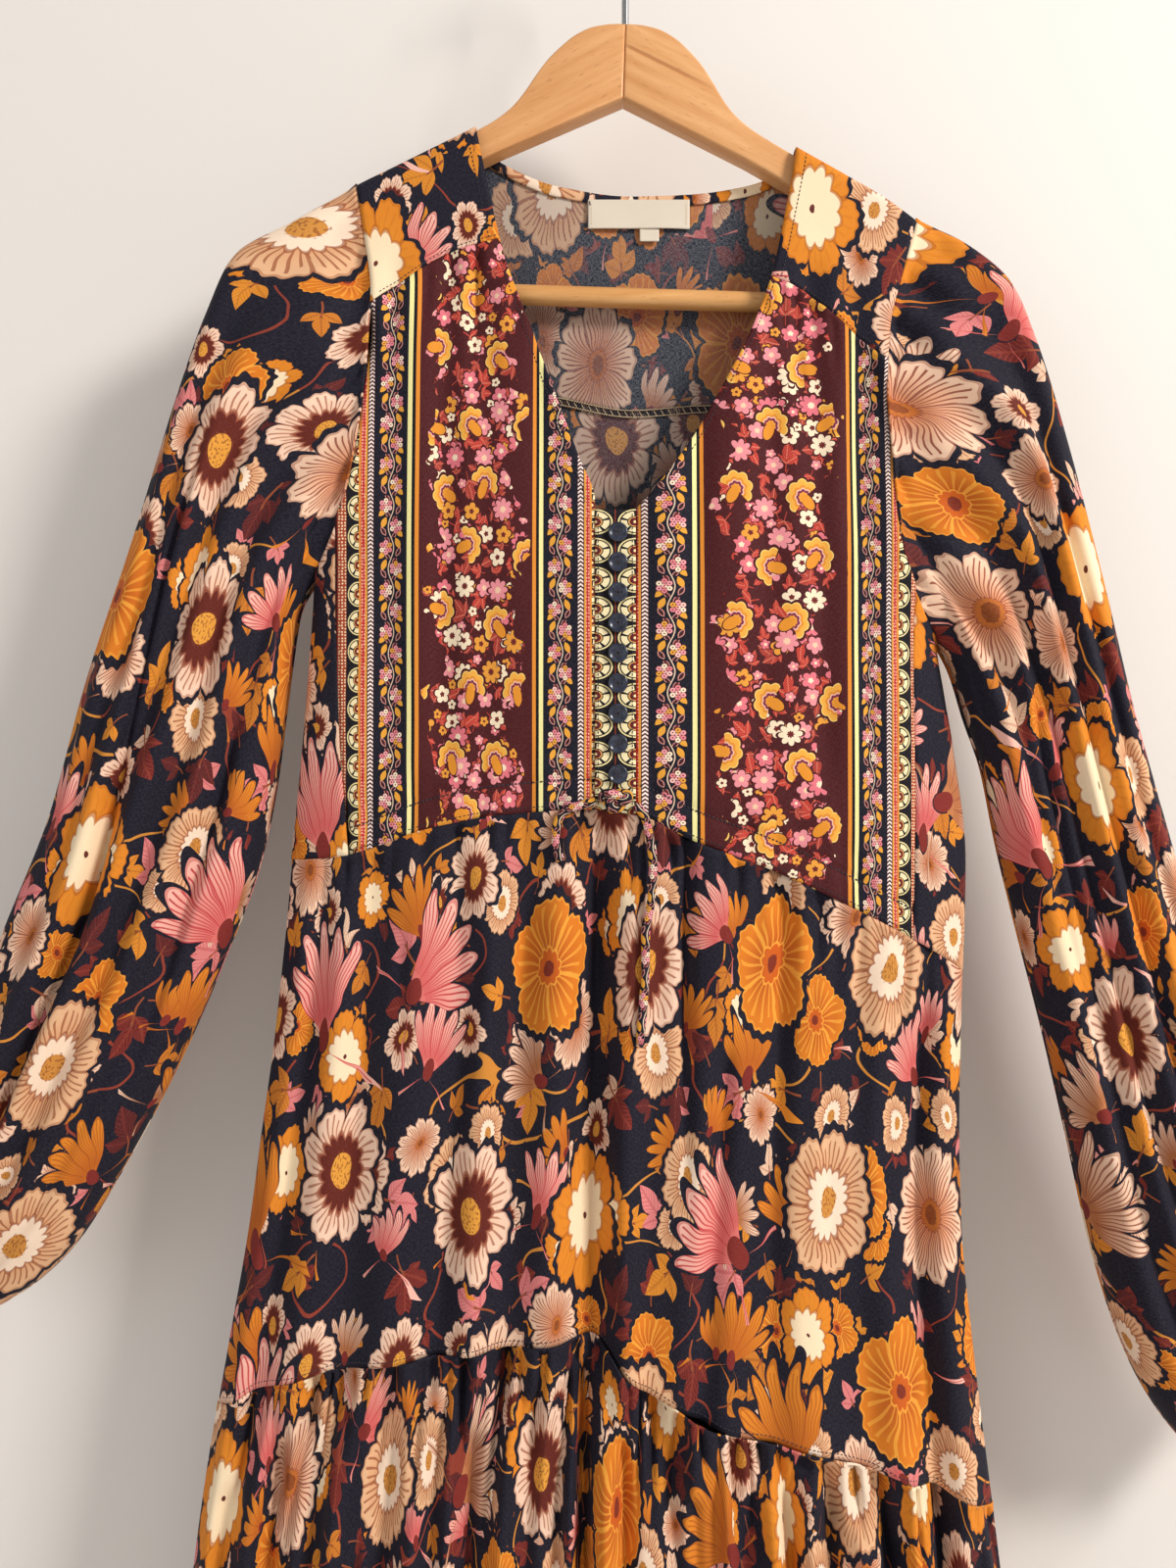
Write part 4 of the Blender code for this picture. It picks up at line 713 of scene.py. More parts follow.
for spacing, reach, jitter, shift, petal_turns, least in (
    ((9.5, 10.5), (2.7, 3.0), 0.6, (4, 6), 2.5, 0.45),
    ((14, 16), (4.7, 5.4), 0.5, (3, 2), 2.5, 0.3),
    ((21, 27), (6.0, 6.8), 0.5, (9, 7), 4.0, 0.35),
):
    spot, chance, other = scatter(tree, given[0], spacing, reach, jitter, shift, 6.28)
    bloom_x, bloom_y, _ = split(tree, spot)
    petals = calc(tree, "ABSOLUTE", calc(tree, "COSINE", calc(
        tree, "MULTIPLY", calc(tree, "ARCTAN2", bloom_y, bloom_x), petal_turns)))
    reach_here = calc(tree, "MULTIPLY_ADD", calc(tree, "POWER", petals, 0.7), 0.42, 0.58)
    bloom_ratio = calc(tree, "DIVIDE", vector_calc(tree, "LENGTH", spot), reach_here)
    bloom = stepped(tree, chance, list(zip(BLOOM_STARTS, ("#e0983a", "#e58f96", "#f3dfc0", "#dd7480"))))
    middle = stepped(tree, chance, list(zip(BLOOM_STARTS, ("#6b2420", "#f0c8a8", "#6b2420", "#f3dfc0"))))
    bloom = over(tree, calc(tree, "LESS_THAN", bloom_ratio, 0.32), bloom, middle)
    wanted = calc(tree, "MULTIPLY", calc(tree, "GREATER_THAN", other, least), bunch)
    painted = over(tree, calc(tree, "MULTIPLY", calc(tree, "LESS_THAN", bloom_ratio, 1.22), wanted),
                   painted, "#4a181a")
    painted = over(tree, calc(tree, "MULTIPLY", calc(tree, "LESS_THAN", bloom_ratio, 1), wanted),
                   painted, bloom)
spot, chance, other = scatter(tree, given[0], (29, 40), (8.6, 11.5), 0.3, (6, 15), 3.6)
fan_x, fan_y, _ = split(tree, spot)
fan_y = calc(tree, "ADD", fan_y, 0.15)
fan_turn = calc(tree, "ARCTAN2", fan_x, fan_y)
frill = calc(tree, "MULTIPLY_ADD", calc(tree, "ABSOLUTE", calc(
    tree, "COSINE", calc(tree, "MULTIPLY", fan_turn, 4.2))), 0.16, 0.84)
fan_reach = calc(tree, "ADD", calc(tree, "DIVIDE", vector_calc(
    tree, "LENGTH", combine(tree, fan_x, fan_y)), frill), calc(
        tree, "MULTIPLY", calc(tree, "GREATER_THAN", calc(tree, "ABSOLUTE", fan_turn), 1.75), 9))
cup_reach = vector_calc(tree, "LENGTH", combine(
    tree, calc(tree, "DIVIDE", fan_x, 0.3), calc(tree, "DIVIDE", calc(tree, "ADD", fan_y, 0.32), 0.5)))
carnation = stepped(tree, fan_reach, [
    (0, "#e0983a"), (0.3, "#7a2c48"), (0.44, "#e8b8a0"),
    (0.52, "#d98a2e"), (0.66, "#e8a844"), (0.93, "#f0c870")])
carnation = over(tree, calc(tree, "LESS_THAN", cup_reach, 1), carnation, "#dd8e2c")
nearest = calc(tree, "MINIMUM", fan_reach, cup_reach)
wanted = calc(tree, "MULTIPLY", calc(tree, "LESS_THAN", depth_in, 29), in_band)
outlined = calc(tree, "MULTIPLY", calc(tree, "LESS_THAN", nearest, 1.16), wanted)
painted = over(tree, outlined, painted, "#4a181a")
painted = over(tree, calc(tree, "MULTIPLY", calc(tree, "LESS_THAN", nearest, 1), wanted), painted, carnation)
join(tree, painted, gives[0])


def cloth_material(name, pattern, wrong_side=False, roughness=0.72):
    """Printed viscose crepe: the print on its right side, and a washed-out slate of it on the wrong side."""
    made = bpy.data.materials.new(name)
    made.use_nodes = True
    tree = made.node_tree
    shader = tree.nodes["Principled BSDF"]
    chart = put(tree, "ShaderNodeUVMap", uv_map="cloth").outputs[0]
    place = vector_calc(tree, "MULTIPLY", chart, (1000, 1000, 1))
    colour = use(tree, pattern, place)[0]
    thread = noise(tree, vector_calc(tree, "MULTIPLY", place, (1.0, 0.22, 1)), 2.4, 0)
    cross = noise(tree, vector_calc(tree, "MULTIPLY", place, (0.22, 1.0, 1)), 2.4, 0)
    weave = calc(tree, "MULTIPLY", calc(tree, "ADD", thread, cross), 0.5)
    if wrong_side:
        slub = between(tree, weave, 0.4, 0.6)
        slate = over(tree, slub, "#2f3a48", "#566271")
        colour = over(tree, 0.4, colour, slate)
        colour = over(tree, calc(tree, "MULTIPLY", slub, 0.16), colour, "#a39c98")
    else:
        fade = calc(tree, "MULTIPLY", between(tree, weave, 0.42, 0.62), 0.05)
        colour = over(tree, fade, colour, "#8d8a92")
    join(tree, colour, shader.inputs["Base Color"])
    shader.inputs["Roughness"].default_value = roughness
    shader.inputs["Specular IOR Level"].default_value = 0.1
    shader.inputs["Sheen Weight"].default_value = 0.02
    shader.inputs["Sheen Roughness"].default_value = 0.5
    bump = put(tree, "ShaderNodeBump")
    bump.inputs["Strength"].default_value = 0.35
    bump.inputs["Distance"].default_value = 0.0003
    join(tree, weave, bump.inputs["Height"])
    join(tree, bump.outputs[0], shader.inputs["Normal"])
    return made


floral_cloth = cloth_material("floral_cloth_print", flower_print)
floral_inside = cloth_material("floral_cloth_inside", flower_print, wrong_side=True)
border_cloth = cloth_material("border_cloth_print", border_print)
border_inside = cloth_material("border_cloth_inside", border_print, wrong_side=True)


def add_mesh(name, points, faces, chart, materials, nodes):
    """A piece from points in millimetres. It stands for CAD nodes and rides on the body."""
    mesh = bpy.data.meshes.new(name)
    mesh.from_pydata((np.asarray(points) * MM).tolist(), [], faces)
    if chart is not None:
        layer = mesh.uv_layers.new(name="cloth")
        corners = np.empty(len(mesh.loops), int)
        mesh.loops.foreach_get("vertex_index", corners)
        layer.data.foreach_set("uv", (np.asarray(chart)[corners] * MM).ravel())
    for finish in materials:
        mesh.materials.append(finish)
    mesh.shade_smooth()
    made = bpy.data.objects.new(name, mesh)
    bpy.context.scene.collection.objects.link(made)
    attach(made, "root")
    if nodes:
        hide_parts(*nodes)
    return made


def tube(name, path, radii, materials, nodes, chart_shift=(0, 0), sides=16, flat=1.0):
    """A round or slightly flattened strip along a path, closed at both ends."""
    path = np.asarray(path, float)
    ahead = np.gradient(path, axis=0)
    ahead /= np.linalg.norm(ahead, axis=1)[:, None]
    aside = np.cross(ahead, (0, -1, 0))
    aside /= np.linalg.norm(aside, axis=1)[:, None]
    forward = np.cross(aside, ahead)
    turns = np.linspace(0, 2 * np.pi, sides, endpoint=False)
    ring = np.cos(turns)[None, :, None] * aside[:, None]
    ring = ring + flat * np.sin(turns)[None, :, None] * forward[:, None]
    points = (path[:, None] + ring * np.asarray(radii)[:, None, None]).reshape(-1, 3)
    count = len(path)
    faces = [
        (i * sides + j, (i + 1) * sides + j, (i + 1) * sides + (j + 1) % sides, i * sides + (j + 1) % sides)
        for i in range(count - 1) for j in range(sides)]
    faces.append(tuple(range(sides)))
    faces.append(tuple((count - 1) * sides + j for j in reversed(range(sides))))
    length = np.concatenate([[0], np.cumsum(np.linalg.norm(np.diff(path, axis=0), axis=1))])
    chart = np.stack(np.broadcast_arrays(
        chart_shift[0] + turns[None, :] * 2.6, chart_shift[1] + length[:, None]), -1).reshape(-1, 2)
    made = add_mesh(name, points, faces, chart, materials, nodes)
    shaping = bmesh.new()
    shaping.from_mesh(made.data)
    bmesh.ops.recalc_face_normals(shaping, faces=shaping.faces)
    shaping.to_mesh(made.data)
    shaping.free()
    return made


def smooth_route(points, count):
    """Points of a smooth curve through the route's own points."""
    stations = range(len(points))
    at = np.linspace(0, len(points) - 1, count)
    return np.stack([smooth_curve(list(zip(stations, values)))(at) for values in zip(*points)], -1)


TIE_STEPS = 48
for word, ends in (("left", LEFT_TIE), ("right", RIGHT_TIE)):
    route = [(e.x, float(front_y(e.x, e.height)) - e.stand_off, e.height) for e in ends]
    path = smooth_route(route, TIE_STEPS)
    share = np.linspace(0, 1, TIE_STEPS)
    radii = TIE_RADIUS * (0.97 + 0.05 * np.sin(share * 23) + 0.03 * np.sin(share * 61 + 1))
    radii[0] *= 0.8
    radii[-1] *= 0.85
    strip = tube(f"tie_strip_{word}", path, radii, [border_cloth], [f"tie_end_{word}"],
                 chart_shift=(46, 20 if word == "left" else 90), flat=0.82)

# Waist knot. The strip crosses itself in one soft overhand knot on the placket.
knot_x, knot_z = KNOT_CENTRE
placket_face = float(front_y(knot_x, knot_z)) - (PLACKET_WALL - WALL) / 2 - PLACKET_WALL / 2
knot_y = placket_face - 0.3 - KNOT_HALF[1] * (1 - KNOT_PINCH)
t = np.linspace(0, 2 * np.pi, 97)[:-1]
knot_path = np.stack([
    knot_x + 2.75 * (np.sin(t) + 2 * np.sin(2 * t)),
    knot_y - 2.4 * np.sin(3 * t),
    knot_z + 1.75 * (np.cos(t) - 2 * np.cos(2 * t))], -1)
knot_path = np.concatenate([knot_path, knot_path[:1]])
tube("tie_knot_cloth", knot_path, np.full(len(knot_path), 2.7), [border_cloth], ["tie_knot"],
     chart_shift=(46, 160))

# Hanger. Two flat beech arms, mitred and glued at the middle, hold a round bar
# and a steel hook. The wood has a clear satin lacquer.
HANGER_THICKNESS, HANGER_EDGE = 14.0, 1.6
BAR_RADIUS, BAR_HALF_LENGTH, BAR_DROP = 6.0, 200.0, 164.0
HOOK_WIRE_RADIUS, HOOK_BEND_RADIUS = 2.2, 22.2
ARM_TIP = (
    ArmPoint(217, 151), ArmPoint(220, 162), ArmPoint(218, 170),
    ArmPoint(212, 175), ArmPoint(200, 174), ArmPoint(190, 166),
    ArmPoint(181, 153), ArmPoint(172, 141), ArmPoint(162, 131),
)
ARM_UNDERSIDE = (ArmPoint(150, 119.5), ArmPoint(75, 80), ArmPoint(0, 45))


def wood_material(name, turn, light, dark, groove=None):
    """Lacquered beech: long soft grain, short dark flecks, and a groove across one arm."""
    made = bpy.data.materials.new(name)
    made.use_nodes = True
    tree = made.node_tree
    shader = tree.nodes["Principled BSDF"]
    where = put(tree, "ShaderNodeTexCoord").outputs["Object"]
    mapping = put(tree, "ShaderNodeMapping")
    join(tree, where, mapping.inputs["Vector"])
    mapping.inputs["Rotation"].default_value = (0, turn, 0)
    along = vector_calc(tree, "MULTIPLY", mapping.outputs[0], (14, 160, 160))
    broad = noise(tree, along, 1.0, 3, "3D")
    fine = noise(tree, vector_calc(tree, "MULTIPLY", mapping.outputs[0], (60, 900, 900)), 1.0, 3, "3D")
    fleck = between(tree, noise(tree, vector_calc(
        tree, "MULTIPLY", mapping.outputs[0], (160, 1100, 1100)), 1.0, 1, "3D"), 0.66, 0.74)
    colour = over(tree, between(tree, broad, 0.3, 0.7), light, dark)
    colour = over(tree, calc(tree, "MULTIPLY", between(tree, fine, 0.45, 0.7), 0.3), colour, dark)
    colour = over(tree, calc(tree, "MULTIPLY", fleck, 0.35), colour, "#9c6232")
    height = fine
    if groove:
        (x0, z0), (x1, z1), width = groove
        x, _, z = split(tree, where)
        length = math.hypot(x1 - x0, z1 - z0)
        ux, uz = (x1 - x0) / length, (z1 - z0) / length
        run = calc(tree, "ADD", calc(tree, "MULTIPLY", calc(tree, "SUBTRACT", x, x0), ux), calc(
            tree, "MULTIPLY", calc(tree, "SUBTRACT", z, z0), uz))
        off = calc(tree, "ABSOLUTE", calc(tree, "ADD", calc(tree, "MULTIPLY", calc(
            tree, "SUBTRACT", x, x0), -uz), calc(tree, "MULTIPLY", calc(tree, "SUBTRACT", z, z0), ux)))
        taper = calc(tree, "MULTIPLY", between(tree, run, -0.001, 0.004), between(
            tree, run, length, length - 0.02))
        cut = calc(tree, "MULTIPLY", between(tree, off, width, width * 0.35), taper)
        colour = over(tree, calc(tree, "MULTIPLY", cut, 0.8), colour, "#b0713f")
        height = calc(tree, "MULTIPLY_ADD", cut, -6, fine)
    join(tree, colour, shader.inputs["Base Color"])
    shader.inputs["Roughness"].default_value = 0.42
    shader.inputs["Coat Weight"].default_value = 0.25
    shader.inputs["Coat Roughness"].default_value = 0.25
    bump = put(tree, "ShaderNodeBump")
    bump.inputs["Strength"].default_value = 0.25
    bump.inputs["Distance"].default_value = 0.0003
    join(tree, height, bump.inputs["Height"])
    join(tree, bump.outputs[0], shader.inputs["Normal"])
    return made


def hanger_point(out, down):
    """Where a point of the hanger's own frame lies in the dress's frame."""
    turned_x = APEX_X + out * math.cos(HANGER_TILT) - down * math.sin(HANGER_TILT)
    turned_z = APEX_Z - out * math.sin(HANGER_TILT) - down * math.cos(HANGER_TILT)
    return turned_x, 0.0, turned_z


def dense_outline():
    """The arm's outline with its curved top and tip drawn in short steps."""
    curved = [(p.out, p.down) for p in ARM_TOP[1:] + ARM_TIP]
    round_part = smooth_route(curved, 110).tolist()
    return [(0.0, 0.0), (4.0, 0.0)] + round_part + [(p.out, p.down) for p in ARM_UNDERSIDE]


def curve_to_piece(curve_object, name, finish, nodes):
    """A mesh piece with the curve's shape, its place in its mesh."""
    bpy.context.view_layer.update()
    graph = bpy.context.evaluated_depsgraph_get()
    mesh = bpy.data.meshes.new_from_object(curve_object.evaluated_get(graph))
    mesh.transform(curve_object.matrix_world)
    shaping = bmesh.new()
    shaping.from_mesh(mesh)
    bmesh.ops.remove_doubles(shaping, verts=shaping.verts, dist=0.00001)
    bmesh.ops.recalc_face_normals(shaping, faces=shaping.faces)
    shaping.to_mesh(mesh)
    shaping.free()
    bpy.data.objects.remove(curve_object)
    mesh.name = name
    mesh.materials.clear()
    mesh.materials.append(finish)
    made = bpy.data.objects.new(name, mesh)
    bpy.context.scene.collection.objects.link(made)
    bpy.context.view_layer.objects.active = made
    made.select_set(True)
    bpy.ops.object.shade_smooth_by_angle(angle=math.radians(28))
    made.select_set(False)
    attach(made, "root")
    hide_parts(*nodes)
    return made


GROOVE = ((0.0008, -0.1045), (0.0560, -0.1320), 0.0016)
for side, word, groove in ((-1, "left", None), (1, "right", GROOVE)):
    curve = bpy.data.curves.new("arm_outline", "CURVE")
    curve.dimensions = "2D"
    curve.fill_mode = "BOTH"
    curve.extrude = (HANGER_THICKNESS / 2 - HANGER_EDGE) * MM
    curve.bevel_depth = HANGER_EDGE * MM
    curve.bevel_resolution = 3
    curve.offset = -HANGER_EDGE * MM
    spline = curve.splines.new("POLY")
    outline = dense_outline()
    spline.points.add(len(outline) - 1)
    for point, (out, down) in zip(spline.points, outline):
        point.co = (side * max(out, 0.05) * MM, -down * MM, 0, 1)
    spline.use_cyclic_u = True
    arm = bpy.data.objects.new("arm_outline", curve)
    bpy.context.scene.collection.objects.link(arm)
    arm.rotation_euler = (math.radians(90), HANGER_TILT, 0)
    arm.location = Vector((APEX_X, 0, APEX_Z)) * MM
    beech = wood_material(
        f"beech_{word}", side * math.radians(-27), "#e0a871" if side < 0 else "#e6b078", "#cf9258", groove)
    curve_to_piece(arm, f"beech_arm_{word}", beech, [f"hanger_arm_{word}"])

bpy.ops.mesh.primitive_cylinder_add(
    vertices=48, radius=BAR_RADIUS * MM, depth=2 * BAR_HALF_LENGTH * MM,
    location=Vector(hanger_point(0, BAR_DROP)) * MM, rotation=(0, math.radians(90) + HANGER_TILT, 0))
bar = bpy.context.object
bar.name = "beech_bar"
bpy.ops.object.transform_apply(location=True, rotation=True, scale=True)
bpy.ops.object.shade_smooth_by_angle(angle=math.radians(30))
bar.data.materials.append(wood_material("beech_dowel", math.radians(1.8), "#e3ad6e", "#cc9150"))
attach(bar, "root")
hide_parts("hanger_bar")
bpy.ops.object.select_all(action="DESELECT")

steel_finish = bpy.data.materials.new("zinc_wire")
steel_finish.use_nodes = True
tree = steel_finish.node_tree
steel_shader = tree.nodes["Principled BSDF"]
steel_where = put(tree, "ShaderNodeTexCoord").outputs["Object"]
steel_colour = over(tree, noise(tree, steel_where, 700, 3, "3D"), "#9a9c9e", "#c4c6c8")
join(tree, steel_colour, steel_shader.inputs["Base Color"])
steel_shader.inputs["Metallic"].default_value = 1
steel_shader.inputs["Roughness"].default_value = 0.28
hook_centre_z = HOOK_WIRE_RADIUS - HOOK_BEND_RADIUS
stem_points = [
    (APEX_X, 0, APEX_Z - 14), (APEX_X, 0, APEX_Z + 6), (APEX_X, 0, -66),
    (APEX_X + 1.0, 0, -56), (APEX_X + 5.0, 0, -47.5),
]
bend_points = [(
    HOOK_BEND_RADIUS * math.cos(math.radians(d)), 0,
    hook_centre_z + HOOK_BEND_RADIUS * math.sin(math.radians(d))) for d in range(-50, 206, 15)]
hook_path = smooth_route(stem_points + bend_points, 150)
tube("steel_hook", hook_path, np.full(len(hook_path), HOOK_WIRE_RADIUS), [steel_finish],
     ["hanger_hook"], sides=20)

# Front yokes. Two shoulder pieces of the floral cloth, joined to the back yoke
# over the hanger, with the gathered front panels sewn to their lower edge.
LEFT_NECK = (
    EdgePoint(-140, -91), EdgePoint(-154, -89), EdgePoint(-198, -80),
    EdgePoint(-233, -72), EdgePoint(-278, -56), EdgePoint(-320, -41),
    EdgePoint(-361, -26), EdgePoint(-386, -17), EdgePoint(-700, -17),
)
RIGHT_NECK = (
    EdgePoint(-140, 107), EdgePoint(-166, 105), EdgePoint(-207, 98),
    EdgePoint(-248, 89), EdgePoint(-278, 78), EdgePoint(-320, 57),
    EdgePoint(-355, 36), EdgePoint(-382, 16), EdgePoint(-393, 7),
    EdgePoint(-700, 7),
)
LEFT_ARMHOLE = (
    EdgePoint(-184, -162), EdgePoint(-221, -156), EdgePoint(-258, -151),
    EdgePoint(-288, -152), EdgePoint(-330, -156), EdgePoint(-371, -163),
    EdgePoint(-400, -171), EdgePoint(-418, -180), EdgePoint(-428, -187),
)
RIGHT_ARMHOLE = (
    EdgePoint(-204, 180), EdgePoint(-245, 168), EdgePoint(-282, 159),
    EdgePoint(-317, 157), EdgePoint(-365, 160), EdgePoint(-412, 165),
    EdgePoint(-438, 173), EdgePoint(-455, 182), EdgePoint(-464, 190),
)
SeamPoint = namedtuple("SeamPoint", "x height")
LEFT_YOKE_SEAM = (
    SeamPoint(-165, -272), SeamPoint(-151, -265), SeamPoint(-141, -257),
    SeamPoint(-127, -248), SeamPoint(-107, -235), SeamPoint(-79, -226),
    SeamPoint(-60, -222),
)
RIGHT_YOKE_SEAM = (
    SeamPoint(70, -242), SeamPoint(88, -248), SeamPoint(107, -256),
    SeamPoint(134, -280), SeamPoint(146, -291), SeamPoint(160, -302),
    SeamPoint(175, -312),
)
CLOTH_STEP = 3.0


def height_at(seam):
    return smooth_curve([(p.x, p.height) for p in seam])


left_neck, right_neck = x_at(LEFT_NECK), x_at(RIGHT_NECK)
left_armhole, right_armhole = x_at(LEFT_ARMHOLE), x_at(RIGHT_ARMHOLE)
left_yoke_seam, right_yoke_seam = height_at(LEFT_YOKE_SEAM), height_at(RIGHT_YOKE_SEAM)


def uneven(along, seed):
    """Smooth random values from -1 to 1, one knot to each unit along."""
    table = np.random.default_rng(seed).uniform(-1, 1, 4096)
    k = np.floor(along).astype(int)
    t = ease(along - k)
    return mix(table[k % 4096], table[(k + 1) % 4096], t)


def creases(across, down, pitch, width, depth, reach, seed, late=0.0):
    """Narrow troughs down the cloth, each with its own place, width, depth, start and length, in mm."""
    chance = np.random.default_rng(seed)
    total = np.zeros(np.broadcast(across, down).shape)
    for middle in np.arange(float(np.min(across)), float(np.max(across)), pitch):
        place = middle + pitch * chance.uniform(-0.42, 0.42)
        lean = chance.uniform(-0.05, 0.05)
        bow = 0.3 * pitch * chance.uniform(-1, 1)
        own_width = width * chance.uniform(0.6, 1.5)
        own_depth = depth * chance.uniform(0.3, 1.3)
        own_reach = reach * chance.uniform(0.3, 1.5)
        top = late * chance.uniform(-0.6, 1)
        below = down - top
        away = across - place - lean * down - bow * np.sin(down / 75 + chance.uniform(0, 6.3))
        spread = own_width * (1 + clamp(below / (2.5 * own_reach), 0, 2))
        fades = 1 / (1 + np.exp(clamp((below - own_reach) / (0.2 * own_reach), -30, 30)))
        if late:
            fades = fades * ease(below / (0.3 * late) + 0.5)
        total = total + own_depth * fades * np.exp(-(away / spread) ** 2)
    return total


def crumple(a, b, seed):
    """Very soft unevenness of hanging cloth, about one millimetre deep."""
    return (uneven(a / 31 + 0.4 * uneven(b / 47 + 50, seed) + 90, seed + 1)
            * uneven(b / 64 + 60, seed + 2) + 0.5 * uneven(a / 17 + b / 53 + 400, seed + 4))


def grid_faces(columns, rows, flip=False):
    wide = columns + 1
    k = (np.arange(rows)[:, None] * wide + np.arange(columns)[None, :]).ravel()
    faces = np.stack([k, k + wide, k + wide + 1, k + 1], -1)
    return (faces[:, ::-1] if flip else faces).tolist()


def cloth_chart(grid, start, grain, gathered):
    """Fabric coordinates: straight down the grain, and across it with the length of the folds.

    In a gathered piece every row has the same length of cloth, however deep its folds are.
    """
    grain_x, grain_z = np.array(grain) / np.hypot(*grain)
    sideways = grid[..., 0] * -grain_z + grid[..., 2] * grain_x
    along = grid[..., 0] * grain_x + grid[..., 2] * grain_z
    steps = np.diff(sideways, axis=1)
    deep = np.diff(grid[..., 1], axis=1)
    lengths = np.concatenate([[0], np.cumsum((np.sign(steps) * np.hypot(steps, deep)).mean(axis=0))])
    middle = grid.shape[1] // 2
    profile = lengths - lengths[middle]
    if gathered:
        across = np.broadcast_to(profile, sideways.shape)
    else:
        widths = abs(sideways[:, -1] - sideways[:, 0])
        scale = np.maximum(widths / max(widths.mean(), 1.0), 0.2)
        across = profile[None, :] * scale[:, None] + sideways[:, middle:middle + 1]
    return np.stack([across + start[0], start[1] - along], -1)


# A sheet's shortest length in metres, and the least share of its flat rectangle that it fills.
SHORTEST_LENGTH = 0.01
LEAST_SHARE = 0.301


def cloth_piece(name, grid, start, finishes, node, facing, held="hung", wall=WALL,
                chart=None, grain=(0.0, -1.0)):
    """A cloth wall from a grid of points: rows from the top down, columns from left to right."""
    rows, columns = grid.shape[0] - 1, grid.shape[1] - 1
    if chart is None:
        chart = cloth_chart(grid, start, grain, held == "gathered")
    made = add_mesh(
        name, grid.reshape(-1, 3), grid_faces(columns, rows, flip=facing > 0), chart.reshape(-1, 2),
        finishes, [node])
    thicken = made.modifiers.new("Wall", "SOLIDIFY")
    thicken.thickness = wall * MM
    thicken.offset = 0.0
    thicken.material_offset = 1
    across = np.linalg.norm(np.diff(grid, axis=1), axis=2).sum(axis=1)
    down = np.linalg.norm(np.diff(grid, axis=0), axis=2).sum(axis=0)
    a = grid[1:, 1:] - grid[:-1, :-1]
    b = grid[1:, :-1] - grid[:-1, 1:]
    area = 0.5 * np.linalg.norm(np.cross(a, b), axis=2).sum() * MM * MM
    flat = (round(float(across.max()) * MM, 3), max(SHORTEST_LENGTH, round(float(down.max()) * MM, 3)))
    whole = flat[0] * flat[1]
    area = max(min(area, whole), LEAST_SHARE * whole)
    print("sheet", name, flat, round(area, 4))
    return made


thread_finish = bpy.data.materials.new("dark_thread")
thread_finish.use_nodes = True
tree = thread_finish.node_tree
thread_shader = tree.nodes["Principled BSDF"]
thread_where = put(tree, "ShaderNodeTexCoord").outputs["Object"]
join(tree, over(tree, noise(tree, thread_where, 2500, 2, "3D"), "#17151c", "#3a3640"),
     thread_shader.inputs["Base Color"])
thread_shader.inputs["Roughness"].default_value = 0.8
cream_thread = thread_finish.copy()
cream_thread.name = "cream_thread"
for node in cream_thread.node_tree.nodes:
    if node.bl_idname == "ShaderNodeMix":
        node.inputs[6].default_value = (*rgb("#b59a74"), 1)
        node.inputs[7].default_value = (*rgb("#e2cfae"), 1)


def threads(name, starts, ends, radius, finish):
    """Short straight lengths of thread, each a thin six-sided spindle."""
    starts, ends = np.asarray(starts, float), np.asarray(ends, float)
    ahead = ends - starts
    ahead /= np.linalg.norm(ahead, axis=1)[:, None]
    aside = np.cross(ahead, (0.02, -1, 0.01))
    aside /= np.linalg.norm(aside, axis=1)[:, None]
    forward = np.cross(aside, ahead)
    turns = np.linspace(0, 2 * np.pi, 6, endpoint=False)
    ring = np.cos(turns)[None, :, None] * aside[:, None] + np.sin(turns)[None, :, None] * forward[:, None]
    rows = [
        (starts + (ends - starts) * share)[:, None] + ring * radius * thick
        for share, thick in ((0.0, 0.35), (0.16, 1.0), (0.84, 1.0), (1.0, 0.35))]
    points = np.stack(rows, 1).reshape(-1, 3)
    faces = []
    for k in range(len(starts)):
        base = k * 24
        for row in range(3):
            for j in range(6):
                a = base + row * 6 + j
                b = base + row * 6 + (j + 1) % 6
                faces.append((a, b, b + 6, a + 6))
        faces.append(tuple(base + j for j in reversed(range(6))))
        faces.append(tuple(base + 18 + j for j in range(6)))
    return add_mesh(name, points, faces, None, [finish], [])


def stitch_row(name, line, side, pitch=2.6, radius=0.28, finish=None, lift=WALL / 2):
    """A row of running stitches that lies on a line of a cloth's grid."""
    line = np.asarray(line, float)
    length = np.concatenate([[0], np.cumsum(np.linalg.norm(np.diff(line, axis=0), axis=1))])
    at = np.arange(pitch, length[-1] - pitch, pitch)
    first = np.stack([np.interp(at, length, line[:, k]) for k in range(3)], -1)
    last = np.stack([np.interp(at + 0.62 * pitch, length, line[:, k]) for k in range(3)], -1)
    off = np.array((0, side * (lift + radius * 0.4), 0))
    return threads(name, first + off, last + off, radius, finish or thread_finish)


# How far below the shoulder's top its first rows lie, where the cloth turns over it.
SHOULDER_ROWS = np.array([0, 0.1, 0.4, 1.0, 2.0, 3.6, 6.0, 9.0])


def level(value):
    """An edge that keeps one height, or one distance out, all along."""
    return lambda along: along * 0 + value


